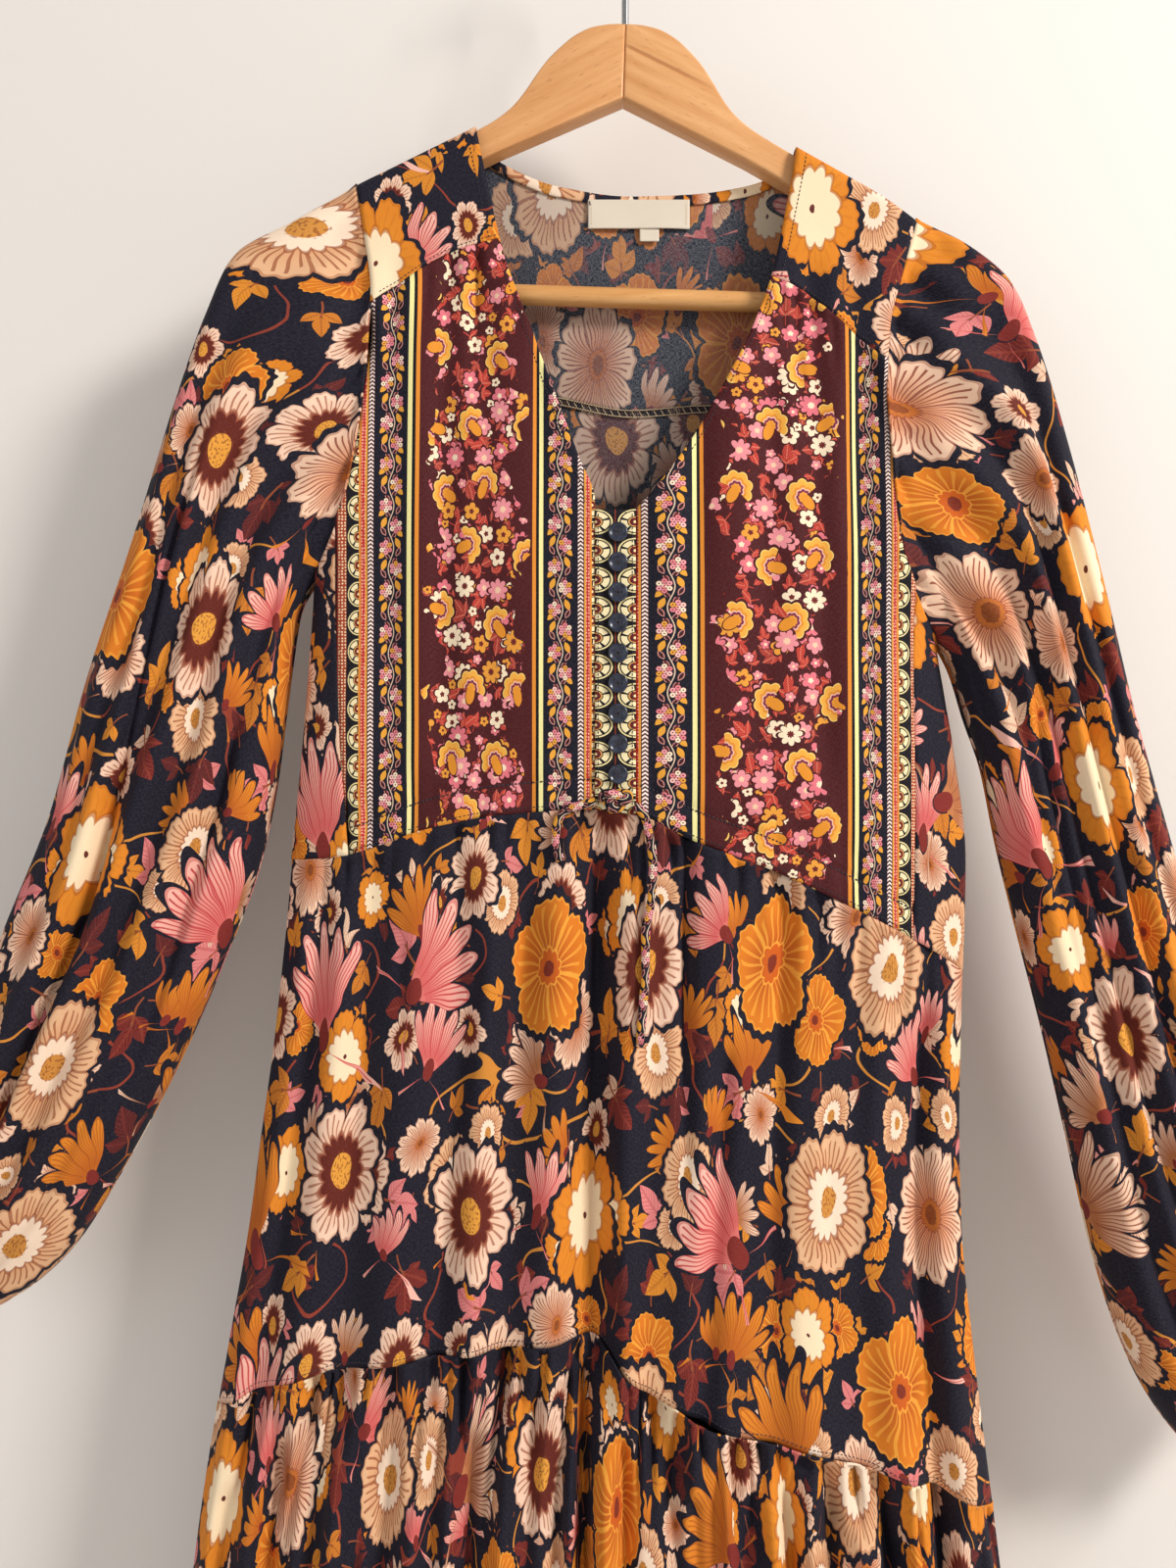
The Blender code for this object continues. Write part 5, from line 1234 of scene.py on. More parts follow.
def panel_grid(left, right, bottom, top, surface, from_shoulder=False, step=CLOTH_STEP):
    """A grid between four edges, laid on a surface."""
    wide = abs(float(right(bottom(0)) - left(bottom(0))))
    tall = abs(float(top(0) - bottom(0)))
    columns = max(8, int(wide / step))
    rows = max(6, int(tall / step))
    near = SHOULDER_ROWS if from_shoulder else np.zeros(1)
    extra = len(near) - 1
    u = np.linspace(0, 1, columns + 1)[None, :]
    v = np.linspace(0, 1, rows + 1 - extra)[:, None]
    z = np.full((rows + 1, columns + 1), float(top(0)))
    for _ in range(8):
        x = mix(left(z), right(z), u)
        high = top(x[:extra + 1]) - near[:, None]
        rest = mix(top(x[extra:]) - near[-1], bottom(x[extra:]), v)
        z = np.concatenate([high, rest[1:]])
    return surface(x, z)


def front_surface(lift, seed, top=None):
    """The front's surface, with small gathers below a seam and a few long soft folds."""

    def place(x, z):
        y = front_y(x, z) - lift
        y = y + 0.55 * crumple(x, z, seed)
        if top is not None:
            down = np.maximum(top(x) - z, 0)
            y = y + creases(x, down, 11, 2.8, 3.8, 48, seed) * ease(down / 8 + 0.2)
            y = y + creases(x, down, 40, 7.5, 3.8, 240, seed + 4) * ease(down / 30)
            from_casing = abs(z - waist_seam(x) - CASING_HEIGHT)
            y = y + 1.5 * np.exp(-(from_casing / 2.4) ** 2)
            y = y + creases(x, from_casing, 10, 2.4, 1.8, 15, seed + 8)
        return np.stack([x, y, z], -1)

    return place


front_yoke_left = panel_grid(
    left_armhole, left_neck, left_yoke_seam, shoulder, front_surface(0.3, 11), from_shoulder=True)
cloth_piece("cloth_front_yoke_left", front_yoke_left, (40, -30), [floral_cloth, floral_inside],
            "front_yoke_left", -1)
stitch_row("neck_stitches_yoke_left", front_yoke_left[:, -3], -1)
stitch_row("yoke_stitches_left", front_yoke_left[-2, 1:], -1)
front_yoke_right = panel_grid(
    right_neck, right_armhole, right_yoke_seam, shoulder, front_surface(0.3, 12), from_shoulder=True)
cloth_piece("cloth_front_yoke_right", front_yoke_right, (420, -75), [floral_cloth, floral_inside],
            "front_yoke_right", -1)
stitch_row("neck_stitches_yoke_right", front_yoke_right[:, 2], -1)
stitch_row("yoke_stitches_right", front_yoke_right[-2, :-1], -1)

# Front panels. The border print runs down beside the placket, and the panels
# are gathered into the yoke and sewn to the skirt at the waist.
LEFT_PRINT_EDGE = LEFT_ARMHOLE[:7] + (
    EdgePoint(-440, -171), EdgePoint(-480, -170), EdgePoint(-526, -168),
    EdgePoint(-620, -161),
)
RIGHT_PRINT_EDGE = RIGHT_ARMHOLE[:7] + (
    EdgePoint(-480, 172), EdgePoint(-510, 172), EdgePoint(-567, 173),
    EdgePoint(-680, 170),
)
WAIST_SEAM = (
    SeamPoint(-205, -599), SeamPoint(-168, -596), SeamPoint(-114, -579),
    SeamPoint(-70, -571), SeamPoint(-20, -568), SeamPoint(10, -572),
    SeamPoint(40, -586), SeamPoint(83, -602), SeamPoint(131, -624),
    SeamPoint(184, -652), SeamPoint(208, -668),
)
left_print_edge, right_print_edge = x_at(LEFT_PRINT_EDGE), x_at(RIGHT_PRINT_EDGE)
waist_seam = height_at(WAIST_SEAM)
CASING_HEIGHT = 18
# Where the print's stripes lie: photo column, and distance from the middle of the burgundy band.
Stripe = namedtuple("Stripe", "column out")
LEFT_STRIPES = (
    Stripe(330, -95), Stripe(342, -88.5), Stripe(352, -83), Stripe(364, -72.3), Stripe(373, -67.5),
    Stripe(380, -63.5), Stripe(415, -42), Stripe(427, -35), Stripe(543, 35), Stripe(554, 42),
    Stripe(589, 63.5), Stripe(596, 67.5), Stripe(604, 72.3), Stripe(616, 83), Stripe(640, 95),
)
RIGHT_STRIPES = (
    Stripe(612, -95), Stripe(632, -83), Stripe(644, -72.3), Stripe(654, -67.5), Stripe(662, -63.5),
    Stripe(707, -42), Stripe(719, -35), Stripe(866, 35), Stripe(877, 42), Stripe(906, 63.5),
    Stripe(912, 67.5), Stripe(919, 72.3), Stripe(932, 83), Stripe(945, 95),
)


# The eye that sees the stripes: its column, its x, its distance, and how much nearer the cloth lies.
EYE_COLUMN, EYE_X, EYE_DISTANCE, CLOTH_NEARER = 600, -21, 720, 29
MM_PER_COLUMN = 0.6


def stripe_chart(grid, stripes, shift):
    """Chart of a border-printed panel: its stripes hang straight down at their own places."""
    columns = np.array([s.column for s in stripes], float)
    outs = np.array([s.out for s in stripes], float)
    x, z = grid[..., 0], grid[..., 2]
    seen = EYE_COLUMN + (x - EYE_X) / MM_PER_COLUMN * EYE_DISTANCE / (EYE_DISTANCE - CLOTH_NEARER)
    return np.stack([np.interp(seen, columns, outs), shift + z], -1)


front_print_left = panel_grid(
    left_print_edge, left_neck, waist_seam, left_yoke_seam,
    front_surface(0.25, 21, left_yoke_seam))
cloth_piece("cloth_front_print_left", front_print_left, (0, 0), [border_cloth, border_inside],
            "front_print_left", -1, held="gathered",
            chart=stripe_chart(front_print_left, LEFT_STRIPES, 7))
front_print_right = panel_grid(
    right_neck, right_print_edge, waist_seam, right_yoke_seam,
    front_surface(0.25, 22, right_yoke_seam))
cloth_piece("cloth_front_print_right", front_print_right, (0, 0), [border_cloth, border_inside],
            "front_print_right", -1, held="gathered",
            chart=stripe_chart(front_print_right, RIGHT_STRIPES, 331))
for word, grid, neck_column in (("left", front_print_left, -3), ("right", front_print_right, 2)):
    tall = float(np.linalg.norm(np.diff(grid[:, neck_column], axis=0), axis=1).sum())
    row = int(round((grid.shape[0] - 1) * (1 - CASING_HEIGHT / tall)))
    above_placket = grid[:, neck_column][grid[:, neck_column, 2] > PLACKET_TOP]
    stitch_row(f"neck_stitches_{word}", above_placket, -1)
    stitch_row(f"casing_stitches_{word}", grid[row], -1, radius=0.5)
    stitch_row(f"waist_stitches_{word}", grid[-2], -1)

# Placket. A doubled strip of the border cloth that carries the buttons.
placket = panel_grid(
    level(PLACKET_CENTRE - PLACKET_WIDTH / 2), level(PLACKET_CENTRE + PLACKET_WIDTH / 2),
    waist_seam, level(PLACKET_TOP), front_surface((PLACKET_WALL - WALL) / 2, 23), step=2.0)
placket_chart = np.stack([83.4 - 0.9 * abs(placket[..., 0] - PLACKET_CENTRE), placket[..., 2]], -1)
cloth_piece("cloth_placket", placket, (0, 0), [border_cloth, border_inside], "placket", -1,
            wall=PLACKET_WALL, chart=placket_chart)
for word, column in (("left", 1), ("right", -2)):
    stitch_row(f"placket_stitches_{word}", placket[:, column], -1, lift=PLACKET_WALL / 2)
stitch_row("placket_stitches_top", placket[1, 1:-1], -1, lift=PLACKET_WALL / 2)

# Buttons. Nine small dark four-hole buttons, moulded and polished, each sewn on
# with a cross of dark thread.
BUTTON_COUNT, BUTTON_PITCH, TOP_BUTTON_Z = 9, 17.7, -405.7
BUTTON_RADIUS, BUTTON_THICKNESS = 5.8, 2.4
BUTTON_HOLE_RADIUS, BUTTON_HOLE_SPREAD = 0.8, 1.5
button_plastic = bpy.data.materials.new("navy_button")
button_plastic.use_nodes = True
tree = button_plastic.node_tree
button_shader = tree.nodes["Principled BSDF"]
button_where = put(tree, "ShaderNodeTexCoord").outputs["Object"]
cloudy = noise(tree, button_where, 260, 3, "3D")
button_colour = over(tree, between(tree, cloudy, 0.35, 0.65), "#1c2130", "#343a4c")
join(tree, button_colour, button_shader.inputs["Base Color"])
button_shader.inputs["Roughness"].default_value = 0.22


def button_piece(number):
    """One button, turned to the placket's slope, with its thread."""
    rings = (
        (0.0, 0.25), (0.62, 0.30), (0.70, 0.55), (0.78, 0.95), (0.86, 1.08), (0.94, 0.95), (1.0, 0.45),
        (1.0, 0.0), (0.93, -0.7), (0.85, -1.2), (0.0, -1.2))
    steps = 40
    points, faces = [], []
    for share, height in rings:
        reach = share * BUTTON_RADIUS
        for k in range(steps):
            angle = 2 * math.pi * k / steps
            points.append((reach * math.cos(angle), -height, reach * math.sin(angle)))
    for row in range(len(rings) - 1):
        for k in range(steps):
            following = (k + 1) % steps
            faces.append((row * steps + k, row * steps + following,
                          (row + 1) * steps + following, (row + 1) * steps + k))
    shaping = bmesh.new()
    for point in points:
        shaping.verts.new(Vector(point) * MM)
    shaping.verts.ensure_lookup_table()
    for face in faces:
        shaping.faces.new([shaping.verts[k] for k in face])
    bmesh.ops.remove_doubles(shaping, verts=shaping.verts, dist=0.000001)
    bmesh.ops.recalc_face_normals(shaping, faces=shaping.faces)
    for face in shaping.faces:
        face.smooth = True
    for across in (-1, 1):
        for up in (-1, 1):
            hole = bmesh.ops.create_cone(
                shaping, cap_ends=True, segments=14, radius1=BUTTON_HOLE_RADIUS * MM,
                radius2=BUTTON_HOLE_RADIUS * MM, depth=0.25 * MM)
            for corner in hole["verts"]:
                x, y, z = corner.co
                corner.co = (
                    x + across * BUTTON_HOLE_SPREAD * MM, z - 0.28 * MM, y + up * BUTTON_HOLE_SPREAD * MM)
            for face in {f for corner in hole["verts"] for f in corner.link_faces}:
                face.material_index = 1
    for lean in (-1, 1):
        strand = bmesh.ops.create_cube(shaping, size=1.0)
        for corner in strand["verts"]:
            x, y, z = corner.co
            along, wide = x * 4.4, z * 0.9
            corner.co = Vector((
                (along - lean * wide) * 0.707, y * 0.55 - 0.5 + 0.35 * abs(along) / 2.2,
                (lean * along + wide) * 0.707)) * MM
        for face in {f for corner in strand["verts"] for f in corner.link_faces}:
            face.material_index = 1
    z = TOP_BUTTON_Z - number * BUTTON_PITCH
    x = PLACKET_CENTRE + 1.5
    stand_off = (PLACKET_WALL - WALL) / 2 + PLACKET_WALL / 2 + 0.3 + BUTTON_THICKNESS / 2
    slope = math.atan2(float(front_y(x, z + 4) - front_y(x, z - 4)), 8)
    for corner in shaping.verts:
        px, py, pz = corner.co
        corner.co = (
            px + x * MM,
            py * math.cos(slope) + pz * math.sin(slope) + (float(front_y(x, z)) - stand_off) * MM,
            pz * math.cos(slope) - py * math.sin(slope) + z * MM)
    mesh = bpy.data.meshes.new(f"sewn_button_{number + 1}")
    shaping.to_mesh(mesh)
    shaping.free()
    mesh.materials.append(button_plastic)
    mesh.materials.append(thread_finish)
    made = bpy.data.objects.new(mesh.name, mesh)
    bpy.context.scene.collection.objects.link(made)
    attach(made, "root")
    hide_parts(f"button_{number + 1}")


for number in range(BUTTON_COUNT):
    button_piece(number)

# Side panels. Floral strips between the border print and the side seam.


def side_grid(edge, seam, armhole, outward):
    armhole_height = smooth_curve([(p.x, p.height) for p in armhole[6:]])
    low_x, high_x = sorted((armhole[6].x, armhole[-1].x))
    columns, rows = 16, 60
    u = np.linspace(0, 1, columns + 1)[None, :]
    v = np.linspace(1, 0, rows + 1)[:, None]
    across = np.sin(u * math.pi / 2)
    z = np.full((rows + 1, columns + 1), float(armhole[-1].height))
    for _ in range(8):
        x = mix(seam(z), edge(z), across)
        top = armhole_height(clamp(x, low_x, high_x))
        z = mix(waist_seam(x), top, v)
    y = np.minimum(front_y(x, z) + 0.3 * crumple(x, z, 31) * (1 - u), -0.3)
    grid = np.stack([x, y, z], -1)
    return grid if outward > 0 else grid[:, ::-1]


for word, edge, seam, armhole, outward, start in (
    ("left", left_edge, left_print_edge, LEFT_ARMHOLE, -1, (-30, 150)),
    ("right", right_edge, right_print_edge, RIGHT_ARMHOLE, 1, (260, 35)),
):
    grid = side_grid(edge, seam, armhole, outward)
    cloth_piece(f"cloth_front_side_{word}", grid, start, [floral_cloth, floral_inside],
                f"front_side_{word}", -1)

# Back. One yoke over both shoulders and one plain panel below it, both of the
# floral cloth, whose slate-grey wrong side shows inside the neck.
BACK_NECK = (
    SeamPoint(-95, -150), SeamPoint(-89, -158), SeamPoint(-64, -174),
    SeamPoint(-39, -183), SeamPoint(5, -189), SeamPoint(40, -188),
    SeamPoint(76, -183), SeamPoint(98, -174), SeamPoint(106, -162),
)
BACK_YOKE_SEAM = (
    SeamPoint(-175, -296), SeamPoint(-42, -313), SeamPoint(5, -321),
    SeamPoint(52, -318), SeamPoint(175, -318),
)
back_neck, back_yoke_seam = height_at(BACK_NECK), height_at(BACK_YOKE_SEAM)


def back_yoke_grid():
    """Columns run down from the shoulders and the neck edge."""
    neck_left, neck_right = LEFT_NECK[1].x, RIGHT_NECK[1].x
    armhole_left = float(left_armhole(shoulder(LEFT_ARMHOLE[0].x)))
    armhole_right = float(right_armhole(shoulder(RIGHT_ARMHOLE[0].x)))
    near = np.array([0, 0.1, 0.4, 1.0, 2.0, 3.6, 6.0, 9.0])
    left = np.linspace(armhole_left, neck_left, 26)
    right = np.linspace(neck_right, armhole_right, 26)
    turn = 0.25 * np.arange(1, len(near))
    middle = np.linspace(neck_left + turn[-1], neck_right - turn[-1], 66)[1:-1]
    top_x = np.concatenate([left, neck_left + turn, middle, neck_right - turn[::-1], right])
    top_z = np.concatenate([
        shoulder(left), shoulder(neck_left + turn) - near[1:],
        np.minimum(back_neck(middle), shoulder(middle) - near[-1]),
        (shoulder(neck_right - turn) - near[1:])[::-1], shoulder(right)])
    share = ((top_x - top_x[0]) / (top_x[-1] - top_x[0]))[None, :]
    rows = 48
    v = np.concatenate([np.zeros(8), np.linspace(0, 1, rows - 6)[1:]])[:, None]
    drop = np.concatenate([near, np.full(rows - 7, near[-1])])[:, None]
    z = np.broadcast_to(top_z, (len(v), len(top_x))).copy()
    for _ in range(8):
        spread_left = left_armhole(np.minimum(z, top_z[0])) - left_armhole(top_z[0])
        spread_right = right_armhole(np.minimum(z, top_z[-1])) - right_armhole(top_z[-1])
        x = top_x[None, :] + mix(spread_left, spread_right, share)
        start = top_z[None, :] - drop
        z = mix(start, back_yoke_seam(x), v)
    y = np.maximum(back_y(x, z), 0.45) + 0.4 * crumple(x, z, 41) * ease((shoulder(x) - z - 10) / 20)
    return np.stack([x, y, z], -1)


def back_left(z):
    underarm = LEFT_ARMHOLE[-1].height
    return np.where(z > underarm, left_armhole(z), left_edge(z))


def back_right(z):
    underarm = RIGHT_ARMHOLE[-1].height
    return np.where(z > underarm, right_armhole(z), right_edge(z))


def back_panel_grid(left, right, bottom, top, columns, rows, seed):
    u = np.linspace(0, 1, columns + 1)
    across = ((1 - np.cos(np.pi * u)) / 2 * 0.6 + u * 0.4)[None, :]
    v = np.linspace(0, 1, rows + 1)[:, None]
    z = np.full((rows + 1, columns + 1), float(top(0)))
    for _ in range(8):
        x = mix(left(z), right(z), across)
        z = mix(top(x), bottom(x), v)
    round_here = roundness(x, z)
    y = np.maximum(back_y(x, z) + (0.8 * crumple(x, z, seed) + 0.9) * round_here, 0.25)
    return np.stack([x, y, z], -1)


cloth_piece("cloth_back_yoke", back_yoke_grid(), (150, 260), [floral_cloth, floral_inside],
            "back_yoke", 1)
back_bodice = back_panel_grid(back_left, back_right, waist_seam, back_yoke_seam, 120, 96, 42)
cloth_piece("cloth_back_bodice", back_bodice, (310, 40), [floral_cloth, floral_inside],
            "back_bodice", 1)
seam_x = np.arange(-120, 135, 1.5)


def inside_back(x, z, lift):
    return np.stack([x, back_y(x, z) - WALL / 2 - lift, z], -1)


seam_z = back_yoke_seam(seam_x)
threads("overlock_bars", inside_back(seam_x, seam_z + 0.5, 0.35),
        inside_back(seam_x + 0.9, seam_z - 4.6, 0.35), 0.36, thread_finish)
for height, shift in ((-0.2, 0.0), (-4.4, 0.4)):
    threads(f"overlock_loops_{'top' if height > -1 else 'edge'}",
            inside_back(seam_x + shift, seam_z + height, 0.6),
            inside_back(seam_x + shift + 1.5, seam_z + height + 0.5, 0.6), 0.3, cream_thread)
threads("overlock_slants", inside_back(seam_x[::3], seam_z[::3] - 0.4, 0.55),
        inside_back(seam_x[::3] + 2.4, seam_z[::3] - 4.2, 0.55), 0.24, cream_thread)

# Neck finish. A narrow folded binding along the back neck, a bare woven tape
# where the label is sewn, and a small bare tab below it.
LABEL_WIDTH, LABEL_HEIGHT, LABEL_THICKNESS = 63.0, 18.0, 0.6
LABEL_CENTRE_X, LABEL_TOP = 10.5, -191.0
TAB_WIDTH, TAB_HEIGHT, TAB_CENTRE_X = 12.0, 8.0, 17.0
BINDING_HEIGHT, BINDING_WALL = 6.0, 1.0
LAID_ON_GAP = 0.3


def laid_inside(x_range, low, high, wall, gap, columns, rows, lift=None):
    u = np.linspace(0, 1, columns + 1)[None, :]
    v = np.linspace(0, 1, rows + 1)[:, None]
    x = np.repeat(mix(*x_range, u), rows + 1, axis=0)
    z = mix(high(x), low(x), v)
    y = back_y(x, z) - (WALL / 2 + gap + wall / 2)
    if lift is not None:
        y = y - lift(u, v)
    return np.stack([x, y, z], -1)


binding = laid_inside(
    (LEFT_NECK[1].x + 6, RIGHT_NECK[2].x - 6), lambda x: back_neck(x) - BINDING_HEIGHT,
    lambda x: back_neck(x) + 0.3, BINDING_WALL, LAID_ON_GAP, 90, 6,
    lambda u, v: 0.5 * np.sin(np.pi * v) + 0.1 * uneven(u * 60, 51))
cloth_piece("cloth_neck_binding", binding, (75, 12), [floral_cloth, floral_cloth],
            "back_neck_binding", -1, wall=BINDING_WALL)
label_cloth = bpy.data.materials.new("woven_tape")
label_cloth.use_nodes = True
tree = label_cloth.node_tree
tape_shader = tree.nodes["Principled BSDF"]
tape_chart = put(tree, "ShaderNodeUVMap", uv_map="cloth").outputs[0]
tape_place = vector_calc(tree, "MULTIPLY", tape_chart, (1000, 1000, 1))
warp = put(tree, "ShaderNodeTexWave", wave_type="BANDS", bands_direction="X")
join(tree, tape_place, warp.inputs["Vector"])
warp.inputs["Scale"].default_value = 0.8
weft = put(tree, "ShaderNodeTexWave", wave_type="BANDS", bands_direction="Y")
join(tree, tape_place, weft.inputs["Vector"])
weft.inputs["Scale"].default_value = 0.8
tape_weave = calc(tree, "MULTIPLY", calc(tree, "ADD", warp.outputs[0], weft.outputs[0]), 0.5)
tape_colour = over(tree, tape_weave, "#cfc3b0", "#e2d8c8")
tape_cloud = calc(tree, "MULTIPLY", noise(tree, tape_place, 0.12, 2), 0.25)
tape_colour = over(tree, tape_cloud, tape_colour, "#d2c4ae")
join(tree, tape_colour, tape_shader.inputs["Base Color"])
tape_shader.inputs["Roughness"].default_value = 0.75
tape_bump = put(tree, "ShaderNodeBump")
tape_bump.inputs["Strength"].default_value = 0.3
tape_bump.inputs["Distance"].default_value = 0.0002
join(tree, tape_weave, tape_bump.inputs["Height"])
join(tree, tape_bump.outputs[0], tape_shader.inputs["Normal"])
label = laid_inside(
    (LABEL_CENTRE_X - LABEL_WIDTH / 2, LABEL_CENTRE_X + LABEL_WIDTH / 2),
    level(LABEL_TOP - LABEL_HEIGHT), level(LABEL_TOP), LABEL_THICKNESS,
    2 * LAID_ON_GAP + BINDING_WALL, 60, 20,
    lambda u, v: 1.0 * v**2 * np.sin(np.pi * u) + 0.35 * np.sin(u * 9 + 1) * v)
cloth_piece("tape_label", label, (0, 0), [label_cloth, label_cloth], "neck_label", -1,
            wall=LABEL_THICKNESS)
for word, column in (("left", 2), ("right", -3)):
    stitch_row(f"label_stitches_{word}", label[1:-1, column], -1, pitch=1.9, radius=0.2,
               finish=cream_thread, lift=LABEL_THICKNESS / 2)
threads("label_corner_tack", label[[1], 1] + np.array((0, -0.5, 0)), label[[4], 1] + np.array((0.3, -0.5, 0)),
        0.3, thread_finish)
tab = laid_inside(
    (TAB_CENTRE_X - TAB_WIDTH / 2, TAB_CENTRE_X + TAB_WIDTH / 2),
    level(LABEL_TOP - LABEL_HEIGHT - TAB_HEIGHT), level(LABEL_TOP - LABEL_HEIGHT + 0.6),
    LABEL_THICKNESS, 2 * LAID_ON_GAP + BINDING_WALL, 14, 10, lambda u, v: 0.8 * v)
cloth_piece("tape_tab", tab, (9, 3), [label_cloth, label_cloth], "size_tab", -1,
            wall=LABEL_THICKNESS)

# Sleeves. Full balloon sleeves of the floral cloth, gathered into the armhole
# and into a narrow cuff, each sewn from a front and a back half here.
SleeveSection = namedtuple("SleeveSection", "share outer_x outer_z inner_x inner_z front back")
LEFT_SLEEVE = (
    SleeveSection(0.00, -162, -187.8, -188, -429, 13, 12),
    SleeveSection(0.08, -198, -213, -199, -452, 25, 14),
    SleeveSection(0.16, -233, -234, -203, -484, 31, 16),
    SleeveSection(0.24, -250, -268, -207, -515, 34, 17),
    SleeveSection(0.34, -277, -344, -213, -560, 36, 17),
    SleeveSection(0.44, -298, -410, -223, -605, 37, 17),
    SleeveSection(0.55, -324, -490, -243, -658, 38, 18),
    SleeveSection(0.66, -345, -569, -269, -718, 39, 18),
    SleeveSection(0.77, -375, -646, -303, -783, 40, 18),
    SleeveSection(0.86, -398, -711, -338, -838, 38, 18),
    SleeveSection(0.93, -423, -759, -369, -864, 32, 16),
    SleeveSection(0.97, -444, -787, -388, -872, 24, 14),
    SleeveSection(1.00, -466, -806, -406, -869, 11, 10),
)
RIGHT_SLEEVE = (
    SleeveSection(0.00, 180, -208.2, 191, -465, 13, 12),
    SleeveSection(0.08, 207, -226, 202, -486, 25, 14),
    SleeveSection(0.16, 233, -250, 211, -515, 31, 16),
    SleeveSection(0.24, 247, -282, 221, -545, 34, 17),
    SleeveSection(0.34, 268, -348, 230, -592, 36, 17),
    SleeveSection(0.44, 288, -424, 241, -638, 37, 17),
    SleeveSection(0.55, 306, -501, 257, -700, 38, 18),
    SleeveSection(0.66, 329, -585, 272, -765, 39, 18),
    SleeveSection(0.77, 352, -669, 290, -845, 40, 18),
    SleeveSection(0.86, 377, -743, 312, -908, 38, 18),
    SleeveSection(0.93, 403, -806, 340, -951, 32, 16),
    SleeveSection(0.97, 422, -852, 358, -966, 24, 14),
    SleeveSection(1.00, 441, -888, 380, -962, 11, 10),
)
Fold = namedtuple("Fold", "at_top at_bottom depth")
SLEEVE_FRONT_FOLDS = (
    Fold(0.0, 0.0, 0), Fold(0.16, 0.18, 7), Fold(0.36, 0.38, 11),
    Fold(0.58, 0.57, 10), Fold(0.80, 0.78, 8), Fold(1.0, 1.0, 0),
)
SLEEVE_BACK_FOLDS = (
    Fold(0.0, 0.0, 0), Fold(0.33, 0.33, 1.5), Fold(0.66, 0.66, 1.5),
    Fold(1.0, 1.0, 0),
)
CUFF_LENGTH, CUFF_WALL = 24.0, 2.2


def fold_depth(folds, share, down):
    """Depth of the folds at a share of the width, and a share of the way down."""
    depth = np.zeros(np.broadcast(share, down).shape)
    for one, following in zip(folds, folds[1:]):
        start, end = mix(one.at_top, one.at_bottom, down), mix(following.at_top, following.at_bottom, down)
        local = clamp((share - start) / (end - start))
        here = mix(one.depth, following.depth, local) * (0.5 + 0.5 * np.cos(2 * np.pi * local))
        depth = np.where((share >= start) & (share <= end), here, depth)
    return depth


def sleeve_grid(sections, armhole, side, seed):
    """One half of a sleeve, from the armhole down to the cuff."""
    curves = {
        field: smooth_curve([(s.share, getattr(s, field)) for s in sections])
        for field in ("outer_x", "outer_z", "inner_x", "inner_z", "front", "back")}
    first = sections[0]
    columns, rows = 84, 180
    across = ((1 - np.cos(np.pi * np.linspace(0, 1, columns + 1))) / 2)[None, :]
    down = np.linspace(0, 1, rows + 1)[:, None]
    x = mix(curves["outer_x"](down), curves["inner_x"](down), across)
    z = mix(curves["outer_z"](down), curves["inner_z"](down), across)
    armhole_z = mix(first.outer_z, first.inner_z, across)
    armhole_x = armhole(armhole_z)
    straight_x = mix(first.outer_x, first.inner_x, across)
    bow = (armhole_x - straight_x) * (1 - ease(down / 0.3))
    bow = bow * (1 - ease((across - 0.7) / 0.3) * ease(down / 0.04))
    x = x + bow
    at_seam = abs((front_y if side < 0 else back_y)(armhole_x, armhole_z))
    full = curves["front" if side < 0 else "back"](down)
    folds = SLEEVE_FRONT_FOLDS if side < 0 else SLEEVE_BACK_FOLDS
    sink = fold_depth(folds, across, down) * ease(down / 0.2) * ease((1.06 - down) / 0.16)
    power = mix(4.6, 2.6, ease(down / 0.4))
    rounded = (1 - abs(2 * across - 1) ** power) ** (1 / power)
    small = creases(across * 135, down * 700, 19, 4.6, 7.5, 330, seed, late=260)
    at_head = creases(across * 130, down * 700, 9, 2.7, 5.0, 34, seed + 9) * ease(down / 0.012)
    at_cuff = creases(across * 120, (1 - down) * 700, 8, 2.4, 5.0, 42, seed + 5)
    hung = np.maximum(full * rounded - (sink + small) * rounded, 0)
    near_seam = mix(np.maximum(at_seam, 0.92 * hung), hung, ease(down / 0.1))
    depth = near_seam - (at_head + at_cuff) * rounded
    depth = np.maximum(depth, 0.6) + 0.5 * crumple(across * 160, down * 700, seed) * rounded
    grid = np.stack([x, side * np.maximum(depth, 0.6), z], -1)
    return grid if outer_is_left(sections) else grid[:, ::-1]


def outer_is_left(sections):
    return sections[0].outer_x < 0


def cuff_piece(word, sections):
    """A narrow band round the gathered sleeve end, open at the hand."""
    last = sections[-1]
    outer, inner = Vector((last.outer_x, 0, last.outer_z)), Vector((last.inner_x, 0, last.inner_z))
    middle, half = np.array((outer + inner) / 2), np.array((inner - outer) / 2)
    along = Vector((half[2], 0, -half[0])).normalized()
    if along.z > 0:
        along = -along
    turns = np.linspace(0, 2 * np.pi, 97)[None, :, None]
    down = np.linspace(0, 1, 13)[:, None, None]
    swell = 1 + 0.03 * np.sin(np.pi * down)
    grid = (middle + np.array(along) * (1.2 * 0.5 + CUFF_LENGTH * down)
            + half * np.cos(turns) * swell + np.array((0, last.front, 0)) * np.sin(turns) * swell)
    if outer_is_left(sections):
        grid = grid[:, ::-1]
    cloth_piece(f"cloth_cuff_{word}", grid, (60, 80), [floral_cloth, floral_inside],
                f"cuff_{word}", 1, wall=CUFF_WALL)
    cuff_front = grid[:, grid[6, :, 1] < -0.5 * last.front]
    for place, row in (("top", 1), ("end", -2)):
        stitch_row(f"cuff_stitches_{place}_{word}", cuff_front[row], -1, lift=CUFF_WALL / 2)


